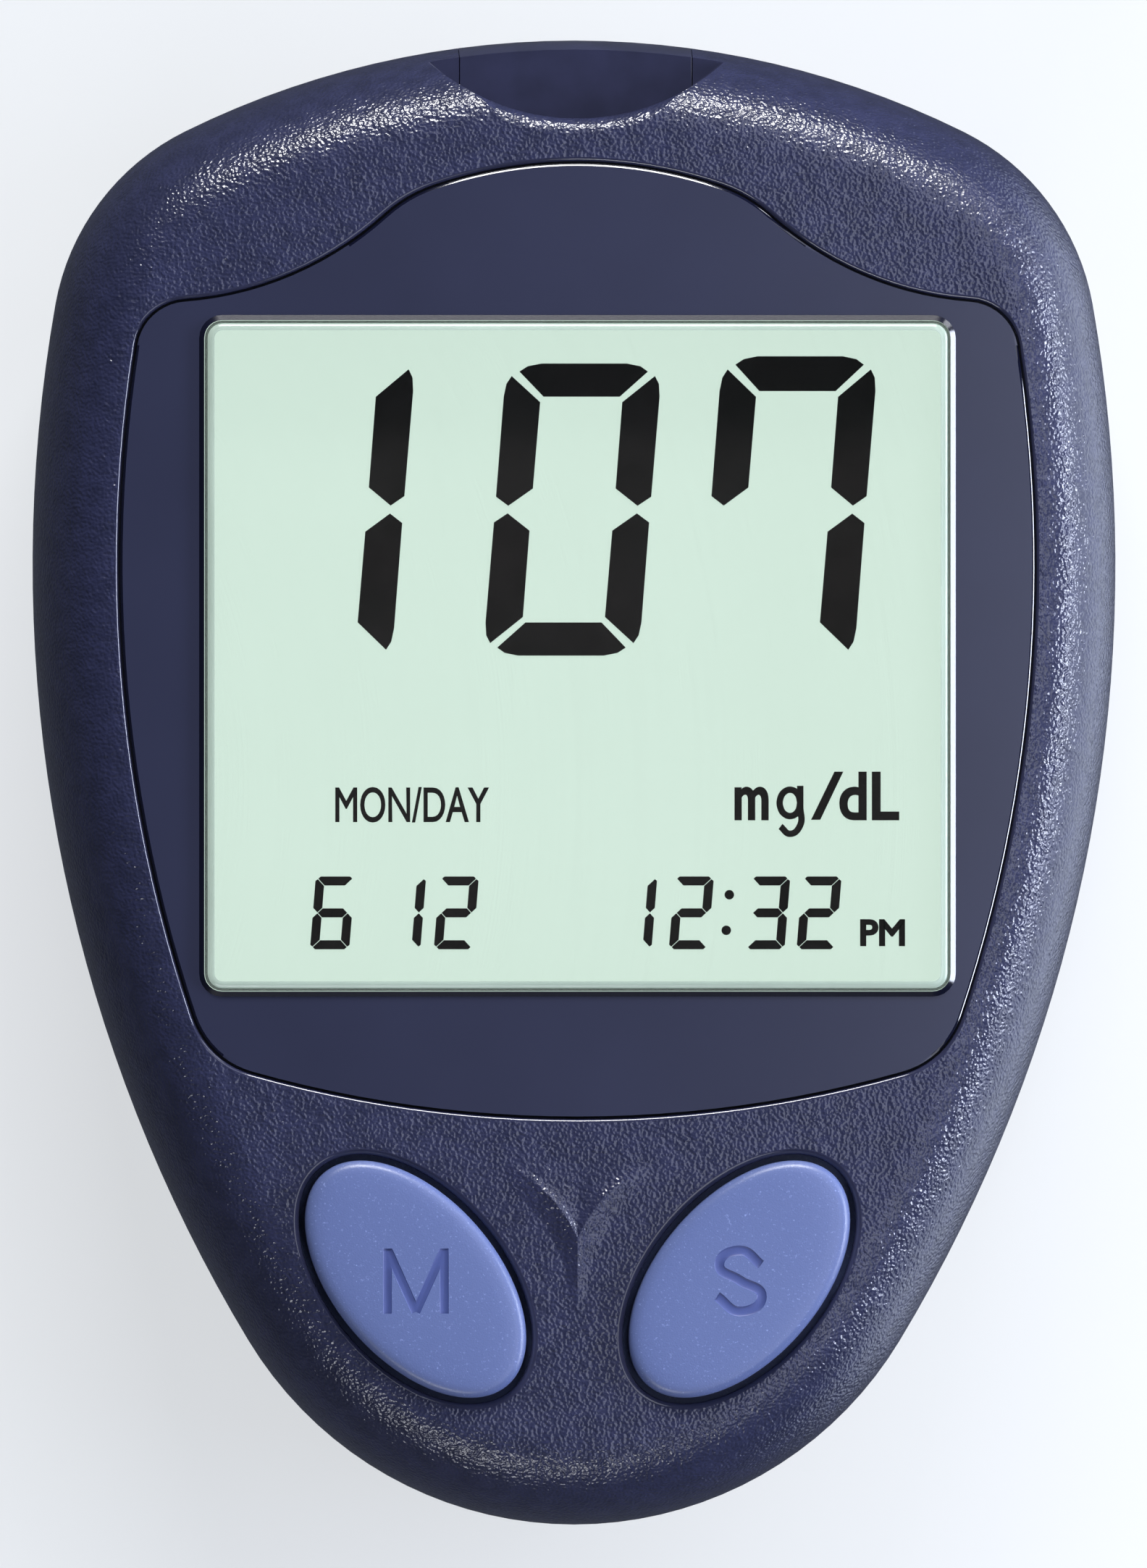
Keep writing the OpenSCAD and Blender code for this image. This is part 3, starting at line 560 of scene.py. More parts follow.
def scoop(rim=1.0, fillet=0.06):
    """A shallow round cut with a wide soft lip; its wall and floor are smooth, its lip isn't."""
    turns = [math.radians(a) for a in (0, 45, 90)]
    foot = [(SCOOP_R - fillet + fillet * math.sin(t), SCOOP_Z + fillet * (1 - math.cos(t))) for t in turns]
    edge = [(SCOOP_R + out, FACE_Z + PROUD - down) for out, down in lip(rim, 7)]
    top = [(SCOOP_R + rim, FACE_Z + 1), (0, FACE_Z + 1)]
    bm = turned([(0, SCOOP_Z)] + foot + edge + top, (0, SCOOP_Y), 160)
    for face in bm.faces:
        face.material_index = 1 if face.calc_center_median().z < FACE_Z - rim else 0
    return bm


def window_cutter(extra, low, high):
    """A block with the window's rounded corners, so much larger all round."""
    reach = WINDOW_H / 2 + extra
    bm = block(WINDOW_W / 2 + extra, [WINDOW_Y - reach, WINDOW_Y + reach], [low, high])
    bevel(bm, upright_edges(bm), WINDOW_R + extra, 6)
    return bm


# %% [markdown]
# ### The crease between the keys
# Each key lies in a shallow dish, and the rims of the two dishes meet in a Y between them. The relief is
# only a third of a millimetre, so it is pushed up on a fine grid: steep on the side of the tongue, and
# falling away slowly towards the key. The grid gets a skirt and is joined to the shell.

# %% Crease
DISH_C = Vector((7.83, -30.04))
DISH_R = 8.55
CREASE_H = 0.36
CREASE_W = 1.5
CREASE_FACET = 0.34
FACET_FALL = 0.4
TONGUE_W = 2.6
PATCH_Y = -27.2
PATCH_HALF = (4.6, 5.6)
SUNK = 0.012


def within(value, start, length):
    """How far a value has come along a stretch: 0 before it and 1 past it."""
    return min(1, max(0, (value - start) / length))


def crease_height(x, y):
    """How far the crease stands out of the face at a point."""
    from_centre = math.hypot(abs(x) - DISH_C.x, y - DISH_C.y)
    inside = DISH_R - from_centre
    if inside > 0:
        shape = max(0, 1 - inside / CREASE_W) ** 1.5
    else:
        facet = min(1, -inside / CREASE_FACET)
        tongue = 1 - max(0, 1 + inside / TONGUE_W) ** 2
        shape = 1 - FACET_FALL * facet - (1 - FACET_FALL) * tongue
    around = math.degrees(math.atan2(y - DISH_C.y, DISH_C.x - abs(x)))
    arm_fade = within(-around, -66, 26)
    stem_fade = within(y, -31.4, 2.6)
    return CREASE_H * shape * arm_fade * stem_fade


def crease(low=21.0):
    """The patch of face that carries the crease, as a block whose top lies a hair under the face."""
    bm = bmesh.new()
    made = bmesh.ops.create_grid(bm, x_segments=110, y_segments=134, size=1, matrix=Matrix())
    for v in made["verts"]:
        v.co = Vector((v.co.x * PATCH_HALF[0], PATCH_Y + v.co.y * PATCH_HALF[1], 0))
        v.co.z = FACE_Z - SUNK + crease_height(v.co.x, v.co.y)
    rim = [e for e in bm.edges if e.is_boundary]
    down = bmesh.ops.extrude_edge_only(bm, edges=rim)
    for v in new_points(down):
        v.co.z = low
    bmesh.ops.contextual_create(bm, geom=[e for e in bm.edges if e.is_boundary])
    bmesh.ops.recalc_face_normals(bm, faces=bm.faces)
    return bm


def flange_pocket(side, around=0.3, above=0.26):
    """Room inside the shell for the flange that keeps a key from falling out."""
    bm = bmesh.new()
    levels = (CAVITY_Z, FLANGE_Z + FLANGE_T + above)
    return loft([key_ring(bm, side, FLANGE_OUT + around, z) for z in levels], bm)


# %% Front shell
# The strip slot opens just above the scoop's floor
NOSE_GAP = 0.04
SLOT_W = 7.2
SLOT_Z = 17.6
SLOT_H = 1.3
scoop_wall = round_bar((0, SCOOP_Y), SCOOP_R + SCOOP_WALL, SCOOP_Z - WALL, FACE_Z + 1, 96)
cavity = carve(dome(FRONT_ROUND, FACE_Z - LEDGE, WALL), scoop_wall)
front = carve(dome(FRONT_ROUND, FACE_Z), cavity)
front = carve(front, crease(), "UNION")
front = carve(front, plate_recess())
front = carve(front, window_cutter(0.1, CAVITY_Z, PAN_Z + 0.8))
for key_side in (-1, 1):
    front = carve(front, key_opening(key_side))
    front = carve(front, flange_pocket(key_side))
front = carve(front, scoop())
wall_y = SCOOP_Y - SCOOP_R
strip_slot = block(SLOT_W / 2, [wall_y - SCOOP_WALL - 0.4, wall_y + 1], [SLOT_Z, SLOT_Z + SLOT_H])
front = carve(front, smooth_cut(strip_slot))
front = carve(front, block(INSERT_W / 2 + NOSE_GAP, [INSERT_Y - 0.3, PAST_PORT], [10, SCOOP_Z + 0.02]))
piece("front_shell", front, [housing_abs, plain_abs], "case", ["front_housing"], sharp=17)

# %% [markdown]
# ### The nose piece and the rear shell
# A test strip slides into the slot in the scoop's wall, over a separate nose piece whose parting lines
# show on both sides. The rear shell carries the battery bay, the channel of its sliding door, four screw
# wells and four sockets for rubber feet. It is the same kind of dome, upside down.

# %% Strip port insert
front_nose = block(INSERT_W / 2, [INSERT_Y, PAST_PORT], [SEAM_Z + 0.2, SCOOP_Z])
long_edges = [e for e in front_nose.edges if abs(e.verts[0].co.y - e.verts[1].co.y) > 1]
bevel(front_nose, long_edges, 0.06, 2)
front_nose = carve(front_nose, dome(FRONT_ROUND, FACE_Z), "INTERSECT")
piece("port_nose", front_nose, [plain_abs], "case", ["strip_port_insert"])

# %% Rear shell and door
CHANNEL_HALF = 15.5
CHANNEL_TOP = 3.8
BAY_W = 23.4
BAY_Y = -34.2
BAY_END = 15.8
BAY_TOP = 13.7
BAY_WALL = 1.6
DOOR_X = 12.6
DOOR_Y = 16.6
DOOR_T = 1.6
DOOR_LIP = 0.8
DOOR_FLANGE = 1.0
DOOR_GAP = 0.3
SCREWS = [(17, 34), (18.6, -19.2)]
BOSS_R = 3.9
WELL_R = 2.6
WELL_LIP = 0.25
SEAT_Z = 3.2
FEET = [(21.5, 22), (18.6, -11)]
FOOT_R = 3
FOOT_T = 1.1


def bay_box(extra, low, high):
    """The space of the battery bay between two heights, so much larger all round."""
    return block(BAY_W / 2 + extra, [BAY_Y - extra, BAY_END + extra], [low, high])


def tee(gap, end_y):
    """The T-shaped bar that the door fills and its channel leaves free, from the tail to end_y."""
    bm = bmesh.new()
    lip_z = BACK_Z + DOOR_LIP - gap
    top_z = BACK_Z + DOOR_T + gap
    inner = DOOR_X + gap
    outer = inner + DOOR_FLANGE
    right = [(inner, 0), (inner, lip_z), (outer, lip_z), (outer, top_z)]
    points = right + [(-x, z) for x, z in reversed(right)]
    face = bm.faces.new([bm.verts.new((x, end_y, z)) for x, z in points])
    moved = bmesh.ops.extrude_face_region(bm, geom=[face])
    for v in new_points(moved):
        v.co.y = -BODY_L
    bmesh.ops.recalc_face_normals(bm, faces=bm.faces)
    return bm


hollow = dome(BACK_ROUND, BACK_Z, WALL)
hollow = carve(hollow, block(CHANNEL_HALF, [-BODY_L / 2 - 0.5, BAY_END + BAY_WALL], [0, CHANNEL_TOP]))
hollow = carve(hollow, bay_box(BAY_WALL, 0, BAY_TOP + 0.3))
for spot in SCREWS:
    hollow = carve(hollow, on_sides(round_bar(spot, BOSS_R, 0, 6)))
rear = carve(dome(BACK_ROUND, BACK_Z), hollow)
rear = carve(rear, bay_box(BAY_WALL, SEAM_Z - 1, BAY_TOP + 1.2), "UNION")
rear = carve(rear, bay_box(0, 1, BAY_TOP))
rear = carve(rear, tee(DOOR_GAP, DOOR_Y + DOOR_GAP))
mouth = WELL_R + WELL_LIP
well = [(0, -1), (mouth, -1), (mouth, BACK_Z), (WELL_R, BACK_Z + WELL_LIP), (WELL_R, SEAT_Z), (0, SEAT_Z)]
for spot in SCREWS:
    rear = carve(rear, on_sides(turned(well, spot, 40)))
for spot in FEET:
    rear = carve(rear, on_sides(round_bar(spot, FOOT_R + 0.1, -1, FOOT_T, 48)))
piece("rear_shell", rear, [housing_abs], "case", ["rear_housing"])

# The thumb grip: six grooves with round ends
GROOVES = 6
GROOVE_L = 14
GROOVE_W = 0.8
GROOVE_DEPTH = 0.35
GROOVE_STEP = 1.6
FIRST_GROOVE_Y = DOOR_Y - 3.6
door = carve(dome(BACK_ROUND, BACK_Z), tee(0, DOOR_Y), "INTERSECT")
for row in range(GROOVES):
    low_y = FIRST_GROOVE_Y - row * GROOVE_STEP - GROOVE_W / 2
    groove = block(GROOVE_L / 2, [low_y, low_y + GROOVE_W], [BACK_Z - GROOVE_DEPTH, BACK_Z + GROOVE_DEPTH])
    bevel(groove, upright_edges(groove), GROOVE_W / 2 - 0.02, 4)
    door = carve(door, groove)
piece("battery_cover_panel", door, [housing_abs], "battery_cover", ["battery_door"])

# %% Feet and housing screws
def gather(shapes):
    """Several shapes as one."""
    together = bmesh.new()
    for shape in shapes:
        mesh = bpy.data.meshes.new("shape")
        shape.to_mesh(mesh)
        shape.free()
        together.from_mesh(mesh)
        bpy.data.meshes.remove(mesh)
    return together


foot = [(0, 0), (2.6, 0), (2.88, 0.08), (FOOT_R, 0.35), (FOOT_R, FOOT_T), (0, FOOT_T)]
feet = gather([turned(foot, spot, 48) for spot in FEET])
piece("foot_pads", on_sides(feet), [foot_rubber], "case", ["rubber_feet"])


def screw(spot, head_r, head_h, shank_r, shank_l):
    """A pan-head screw whose head hangs below its seat, with a cross recess."""
    low, brim, tip = SEAT_Z - head_h, SEAT_Z - head_h * 0.4, SEAT_Z + shank_l
    shoulder = (head_r * 0.9, SEAT_Z - head_h * 0.75)
    head = [(0, low), (head_r * 0.55, low), shoulder, (head_r, brim), (head_r, SEAT_Z)]
    shank = [(shank_r, SEAT_Z), (shank_r, tip - 0.5), (shank_r * 0.5, tip), (0, tip)]
    bm = turned(head + shank, (0, 0), 32)
    for turn in (0, 90):
        slot = block(head_r * 0.5, [-head_r * 0.11, head_r * 0.11], [low - 1, brim])
        quarter = Matrix.Rotation(math.radians(turn), 3, "Z")
        bmesh.ops.rotate(slot, cent=(0, 0, 0), matrix=quarter, verts=slot.verts)
        bm = carve(bm, slot)
    bmesh.ops.translate(bm, vec=(*spot, 0), verts=bm.verts)
    return bm


screws = gather([screw(spot, 2.2, 1.4, 1, 9) for spot in SCREWS])
piece("case_screws", on_sides(screws), [steel], "case", ["housing_screws"])

# %% [markdown]
# ## Face plate and window
# The satin plate drops into the recess with a hairline gap all round. Around the window it turns up into
# a narrow sloping rim, and the clear pane stands a little proud of it with a soft polished edge, so the
# light draws a bright line along one side of the window and a dark one along the other. The plate's cut
# edge, the rim and the steep part of the pane's edge also get darker colours: painted shade that deepens
# the dark lines.

# %% Face plate
RIM_W = 0.3
RIM_SLOPE = 37


def face_plate(edge=0.13):
    """The plate with its polished cut edge, which runs out on the shoulders and at the tail."""
    bm = bmesh.new()
    levels = [(0, PAN_Z + 0.1)] + [(inward, FACE_Z - down) for inward, down in chamfer(edge)]
    loft([outline_ring(bm, PLATE_ARCS, PLATE_TOP - inward, z) for inward, z in levels], bm)
    for v in bm.verts:
        if v.co.z > FACE_Z - 0.2:
            shoulder = within(abs(v.co.x), 11, 3) * within(v.co.y, 24, 2)
            tail = within(-v.co.y, 14.5, 2)
            v.co.z += (FACE_Z - v.co.z) * max(shoulder, tail)
    bm.normal_update()
    # The cut edge takes the second finish, whose near-black colour is painted shade.
    for face in bm.faces:
        at_top = face.calc_center_median().z > FACE_Z - 0.15
        face.material_index = 1 if at_top and face.normal.z < 0.99 else 0
    return bm


def window_rim():
    """A low frustum over the window that leaves a sloping rim once the window is cut out of it."""
    bm = window_cutter(RIM_W, PAN_Z + 0.2, FACE_Z)
    top = [f for f in bm.faces if f.normal.z > 0.9]
    rise = (RIM_W + 0.1) * math.tan(math.radians(RIM_SLOPE))
    bmesh.ops.inset_region(bm, faces=top, thickness=RIM_W + 0.1, depth=rise, use_even_offset=True)
    # The rim takes the third finish, whose near-black colour is painted shade along the window.
    for face in bm.faces:
        face.material_index = 2
    return bm


plate = carve(face_plate(), window_rim(), "UNION")
plate = carve(plate, window_cutter(0, 18, 24))
plate_finishes = [plate_abs, plate_edge_painted_shade, window_rim_painted_shade]
piece("faceplate_panel", plate, plate_finishes, "case", ["face_plate"], sharp=17)

# %% Window pane
PANE_RISE = 0.45
PANE_RIM = 0.56
STEEP = 0.72


def pane():
    """The clear pane; its rounded rim is pale where it lies flat and a darker copy, painted shade, where it
    is steep.
    """
    bm = window_cutter(-0.03, PAN_Z, FACE_Z + PANE_RISE)
    rim = [e for e in bm.edges if all(v.co.z > FACE_Z for v in e.verts)]
    bevel(bm, rim, PANE_RIM, 6, material=1)
    bm.normal_update()
    # Steep faces of the rim take the darker copy: painted shade.
    for face in bm.faces:
        if face.material_index == 1 and face.normal.z < STEEP:
            face.material_index = 2
    return bm


piece("window_pane", pane(), [acrylic, acrylic_edge, acrylic_steep_painted_shade], "case", ["display_window"])

# %% [markdown]
# ## What the display shows
# A liquid crystal display darkens bars of ink-like shapes between two sheets of glass. A large digit has
# seven of them, with mitred corners and thin gaps, and all lean a few degrees. The words are part of the
# same layer: they are fixed shapes that switch on and off.

# %% Shapes from curves
def to_mesh_shape(curve):
    """The mesh that a text or a curve turns into."""
    holder = in_scene("drawn", curve)
    mesh = bpy.data.meshes.new_from_object(holder.evaluated_get(bpy.context.evaluated_depsgraph_get()))
    bpy.data.objects.remove(holder)
    bm = bmesh.new()
    bm.from_mesh(mesh)
    return bm


def stroke_bars(strokes, radius, x, y, z):
    """Round bars: a straight one where a stroke has two points, and a curved one through more of them."""
    curve = bpy.data.curves.new("stroke", "CURVE")
    curve.dimensions = "3D"
    curve.bevel_depth = radius
    curve.bevel_resolution = 8
    curve.use_fill_caps = True
    for points in strokes:
        line = curve.splines.new("BEZIER")
        line.bezier_points.add(len(points) - 1)
        for knot, (px, py) in zip(line.bezier_points, points):
            knot.co = (x + px, y + py, z)
            knot.handle_left_type = knot.handle_right_type = "AUTO" if len(points) > 2 else "VECTOR"
        line.resolution_u = 10 if len(points) > 2 else 1
    bm = to_mesh_shape(curve)
    bmesh.ops.remove_doubles(bm, verts=bm.verts, dist=1e-4)
    bmesh.ops.recalc_face_normals(bm, faces=bm.faces)
    return bm


# %% Segments
INK_LOW = 18.71
INK_T = 0.08
LEAN = math.tan(math.radians(4.6))

# Corners of a large digit's upper left bar and top bar, from the digit's middle
BIG_SIDE = [
    (-4.19, 7.81), (-2.40, 6.28), (-2.42, 1.23), (-3.78, 0.22),
    (-4.54, 0.75), (-4.56, 6.6), (-4.46, 7.35),
]
BIG_TOP = [
    (-3.76, 8.07), (-3.3, 8.38), (-2.5, 8.54), (2.5, 8.54),
    (3.3, 8.38), (3.76, 8.07), (2.23, 6.6), (-2.23, 6.6),
]


def small_bars(w, h, bar, gap):
    """The side bar, the top bar and the middle bar of a small digit that is 2 w wide and 2 h high."""
    half, quarter = bar / 2, bar / 4
    inner = w - bar - gap
    side = [
        (-w, h - half), (-w + quarter, h - quarter - gap), (-w + bar, h - bar - gap),
        (-w + bar, half + gap), (-w + half, gap), (-w, half + gap),
    ]
    top = [
        (-w + quarter + gap, h - quarter), (-w + half + gap, h), (w - half - gap, h),
        (w - quarter - gap, h - quarter), (inner, h - bar), (-inner, h - bar),
    ]
    middle = [
        (-w + half + gap, 0), (-inner, half), (inner, half),
        (w - half - gap, 0), (inner, -half), (-inner, -half),
    ]
    return side, top, middle


def digit(bm, lit, x, y, bars, tall=1):
    """Adds the lit bars a to g of one digit whose middle is at x, y."""
    side, top, middle = bars
    shapes = {
        "f": (side, 1, 1), "b": (side, -1, 1), "e": (side, 1, -1), "c": (side, -1, -1),
        "a": (top, 1, 1), "d": (top, 1, -1), "g": (middle, 1, 1),
    }
    for bar in lit:
        outline, flip_x, flip_y = shapes[bar]
        points = [(px * flip_x, py * flip_y * tall) for px, py in outline]
        bm.faces.new([bm.verts.new((x + px + py * LEAN, y + py, INK_LOW)) for px, py in points])


LIT = {"0": "abcdef", "1": "bc", "2": "abged", "3": "abgcd", "6": "afgecd", "7": "abcf"}
BIG_Y = 15.96
BIG_ROW = [("1", -14.66, 1.05), ("0", -0.22, 1), ("7", 12.38, 1.05)]
SMALL_Y = -7.62
SMALL_ROW = [("6", -14.26), ("1", -10.1), ("2", -7.02), ("1", 3.42), ("2", 6.73), ("3", 11.2), ("2", 14.2)]
COLON = [(8.95, -6.56), (8.77, -8.64)]
digits = bmesh.new()
for figure, x, tall in BIG_ROW:
    digit(digits, LIT[figure], x, BIG_Y, (BIG_SIDE, BIG_TOP, BIG_TOP), tall)
small = small_bars(1.15, 2.13, 0.53, 0.025)
for figure, x in SMALL_ROW:
    digit(digits, LIT[figure], x, SMALL_Y, small)
for dot in COLON:
    spot = Matrix.Translation((*dot, INK_LOW))
    bmesh.ops.create_circle(digits, cap_ends=True, segments=24, radius=0.28, matrix=spot)
slash = [(13.73, -2.18), (14.27, -2.18), (15.62, 0.64), (15.1, 0.64)]
digits.faces.new([digits.verts.new((x, y, INK_LOW)) for x, y in slash])


def thicken(bm, weight):
    """Moves the outline of flat lettering outwards, which makes its strokes heavier by twice the weight."""
    bmesh.ops.remove_doubles(bm, verts=bm.verts, dist=1e-5)
    moves = []
    for vert in bm.verts:
        outwards = []
        for edge in vert.link_edges:
            if edge.is_boundary:
                loop = edge.link_loops[0]
                along = (loop.link_loop_next.vert.co - loop.vert.co).normalized()
                outwards.append(along.cross(loop.face.normal))
        if len(outwards) == 2:
            corner = max(1 + outwards[0].dot(outwards[1]), 0.5)
            moves.append((vert, (outwards[0] + outwards[1]) * weight / corner))
    for vert, move in moves:
        vert.co += move


def words(text, left, right, low, high, weight):
    """Flat lettering stretched to fill the given box."""
    curve = bpy.data.curves.new("words", "FONT")
    curve.body = text
    curve.resolution_u = 6
    bm = to_mesh_shape(curve)
    xs = [v.co.x for v in bm.verts]
    ys = [v.co.y for v in bm.verts]
    wider = (right - left - 2 * weight) / (max(xs) - min(xs))
    taller = (high - low - 2 * weight) / (max(ys) - min(ys))
    bmesh.ops.translate(bm, vec=(-min(xs), -min(ys), 0), verts=bm.verts)
    bmesh.ops.scale(bm, vec=(wider, taller, 1), verts=bm.verts)
    bmesh.ops.translate(bm, vec=(left + weight, low + weight, INK_LOW), verts=bm.verts)
    bm.normal_update()
    thicken(bm, weight)
    return bm


lettering = [
    words("MON/DAY", -14.1, -5.12, -2.34, -0.26, 0.028),
    words("m", 9.25, 11.25, -2.21, -0.24, 0.09),
    words("dL", 15.38, 18.89, -2.21, 0.64, 0.085),
    words("PM", 16.6, 19.23, -9.57, -7.99, 0.075),
]
ink_bm = gather([digits] + lettering)
bmesh.ops.recalc_face_normals(ink_bm, faces=ink_bm.faces)
raised = bmesh.ops.extrude_face_region(ink_bm, geom=ink_bm.faces[:])
bmesh.ops.translate(ink_bm, vec=(0, 0, INK_T), verts=new_points(raised))
bmesh.ops.recalc_face_normals(ink_bm, faces=ink_bm.faces)

# The g is one storey high, unlike that of the font: a bowl, and a stem that ends in a hook
bowl = [(-0.6 * math.cos(t), 0.77 * math.sin(t)) for t in [math.radians(a) for a in range(180, -181, -40)]]
stem = [[(0.6, 1.0), (0.6, -0.3)], [(0.6, -0.25), (0.6, -1.3), (0.02, -1.81), (-0.56, -1.38)]]
G_HALF = 0.19
g_bars = stroke_bars([bowl] + stem, G_HALF, 12.5, -1.19, 0)
bmesh.ops.scale(g_bars, vec=(1, 1, INK_T / 2 / G_HALF), verts=g_bars.verts)
bmesh.ops.translate(g_bars, vec=(0, 0, INK_LOW + INK_T / 2), verts=g_bars.verts)
all_ink = gather([ink_bm, g_bars])
piece("lit_segments", all_ink, [ink], "case", ["lcd_segments"], weighted=False)

# %% [markdown]
# ## Keys
# The two keys are ovals that lean towards each other. Each has a soft rim, a nearly flat top with a faint
# crown and a letter pressed into it. The letter is a shallow groove: a round bar follows each stroke, is
# pressed flat and is cut out of the top.

# %% Keys
KEY_RISE = 0.9
KEY_TOP = FACE_Z + KEY_RISE
KEY_ROUND = 0.62
SHOULDER_Z = KEY_TOP - 0.72
CROWN = [(-0.75, 0.075), (-1.4, 0.03), (-2.6, 0.005), (-3.6, 0)]
LETTER_DEPTH = 0.075
M_HALF = 0.262
S_HALF = 0.29
M_STROKES = [
    [(-1.66, -1.9), (-1.66, 1.9)],
    [(-1.62, 1.8), (0, -1.8)],
    [(0, -1.8), (1.62, 1.8)],
    [(1.66, 1.9), (1.66, -1.9)],
]
S_STROKES = [
    [(1.24, 0.95), (0.05, 1.78), (-1.2, 0.98), (0, 0.04), (1.29, -0.92), (0.0, -1.78), (-1.33, -0.9)],
]


def key(side, strokes, half_width):
    """A key with its flange, its soft rim, its faint crown and its letter."""
    bm = bmesh.new()
    flange_top = FLANGE_Z + FLANGE_T
    levels = [(FLANGE_OUT, FLANGE_Z), (FLANGE_OUT, flange_top), (0, flange_top), (0, SHOULDER_Z)]
    for degrees in (15, 30, 45, 60, 75):
        t = math.radians(degrees)
        levels.append((-KEY_ROUND * (1 - math.cos(t)), SHOULDER_Z + KEY_ROUND * math.sin(t)))
    levels += [(out, KEY_TOP - down) for out, down in CROWN]
    bm = loft([key_ring(bm, side, out, z) for out, z in levels], bm)
    bars = stroke_bars(strokes, half_width, side * KEY_X, KEY_Y - 0.1, 0)
    bmesh.ops.scale(bars, vec=(1, 1, LETTER_DEPTH / half_width), verts=bars.verts)
    bmesh.ops.translate(bars, vec=(0, 0, KEY_TOP), verts=bars.verts)
    return carve(bm, smooth_cut(bars), crosses_itself=True)


key_finishes = [key_plastic, darker_letter_groove]
piece("m_key_cap", key(-1, M_STROKES, M_HALF), key_finishes, "m_key", ["m_button"], sharp=40)
piece("s_key_cap", key(1, S_STROKES, S_HALF), key_finishes, "s_key", ["s_button"], sharp=40)

# %% [markdown]
# ## Inside the battery bay
# With the door off, two AAA cells and their plated contacts show. A cell is a turned shape: a film jacket
# that curls over both ends, a nub at one end and a flat plate at the other.

# %% Cells
CELL_R = 5.25
METAL_R = 4.3
CELL_L = 44.5
CELL_X = 5.6
CELL_Z = 8.15
LEAF = 0.4
DIMPLE = 0.5


def cell(x, nub):
    """A cell that lies along Y, with its nub towards +Y (1) or -Y (-1)."""
    nub_end = [(0, 0), (1.6, 0), (1.9, 0.12), (1.9, 0.8), (2.3, 0.95), (3.9, 0.95), (4.2, 0.8)]
    film = [(4.9, 0.8), (CELL_R, 1.1), (CELL_R, CELL_L - 0.7), (4.95, CELL_L - 0.4), (4.5, CELL_L - 0.4)]
    flat_end = [(METAL_R, CELL_L - 0.15), (3.6, CELL_L), (0, CELL_L)]
    bm = turned(nub_end + film + flat_end)
    for face in bm.faces:
        from_axis = face.calc_center_median().xy.length
        face.material_index = 0 if from_axis > METAL_R else 1
    tip = BAY_END - LEAF - DIMPLE if nub > 0 else BAY_Y + LEAF + DIMPLE
    turn = Matrix.Rotation(math.radians(90 * nub), 3, "X")
    bmesh.ops.rotate(bm, cent=(0, 0, 0), matrix=turn, verts=bm.verts)
    bmesh.ops.translate(bm, vec=(x, tip, CELL_Z), verts=bm.verts)
    return bm


piece("left_cell", cell(-CELL_X, -1), [jacket, nickel], "case", ["battery_left"])
piece("right_cell", cell(CELL_X, 1), [jacket, nickel], "case", ["battery_right"])

# %% [markdown]
# The silicone domes hang under the keys and stand on the board, and each gets a mesh of its own.


def smoothed(node, name, finish, body, sharp=40):
    """A copy of a CAD node with its loose triangles merged, so that round faces shade smoothly."""
    bm = bmesh.new()
    bm.from_mesh(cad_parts[node].data)
    bmesh.ops.scale(bm, vec=(1 / MM,) * 3, verts=bm.verts)
    bmesh.ops.remove_doubles(bm, verts=bm.verts, dist=1e-4)
    return piece(name, bm, [finish], body, [node], sharp)


smoothed("battery_link_spring", "link_spring", nickel, "case")
smoothed("negative_spring", "minus_spring", nickel, "case")
for letter in "ms":
    dome_piece = smoothed(letter + "_key_dome", letter + "_dome", silicone, letter + "_key")
    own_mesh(dome_piece)
for letter in "ms":
    smoothed(letter + "_contact_pill", letter + "_pill", carbon, letter + "_key")
smoothed("crystal", "crystal_can", steel, "case")
smoothed("buzzer", "buzzer_case", chip_epoxy, "case")
smoothed("pcb_screws", "board_screws", steel, "case")

# %% Finishes for the CAD nodes that stay
STAYING = {
    "lcd_polariser": polariser_film,
    "lcd_front_glass": glass,
    "lcd_rear_glass": mint_glass,
    "lcd_reflector": foil,
    "lcd_holder": white_plastic,
    "zebra_strips": elastomer,
    "main_pcb": board_mask,
    "microcontroller": chip_epoxy,
    "pcb_components": chip_ceramic,
    "contact_pads": gold,
    "strip_connector": ivory_plastic,
    "strip_contacts": gold,
    "keypad_sheet": silicone,
    "battery_link": nickel,
    "positive_contact": nickel,
    "negative_contact": nickel,
    "face_plate_tape": tape,
}
for node, finish in STAYING.items():
    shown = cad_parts[node].data
    if shown.materials:
        shown.materials[0] = finish
    else:
        shown.materials.append(finish)
print("CAD nodes that stay:", len(STAYING))

# %% [markdown]
# ## Floor, light and camera
# The floor is a plain pale light table that glows a little more on the right. A long soft box beyond the
# port end is the main light, four weaker ones pick out the rounded edges, and a room that is brighter low
# on the right does the rest. The camera looks down through a long lens, about a degree off the upright.

# %% Stage
def slope(tree, place, direction, ends, values):
    """Goes from the first to the second of two values, between two distances along a direction."""
    along = add(tree, "VectorMath", operation="DOT_PRODUCT")
    tree.links.new(place, along.inputs[0])
    along.inputs[1].default_value = direction
    steps = dict(From_Min=ends[0], From_Max=ends[1], To_Min=values[0], To_Max=values[1])
    return add(tree, "MapRange", Value=along.outputs["Value"], **steps).outputs["Result"]


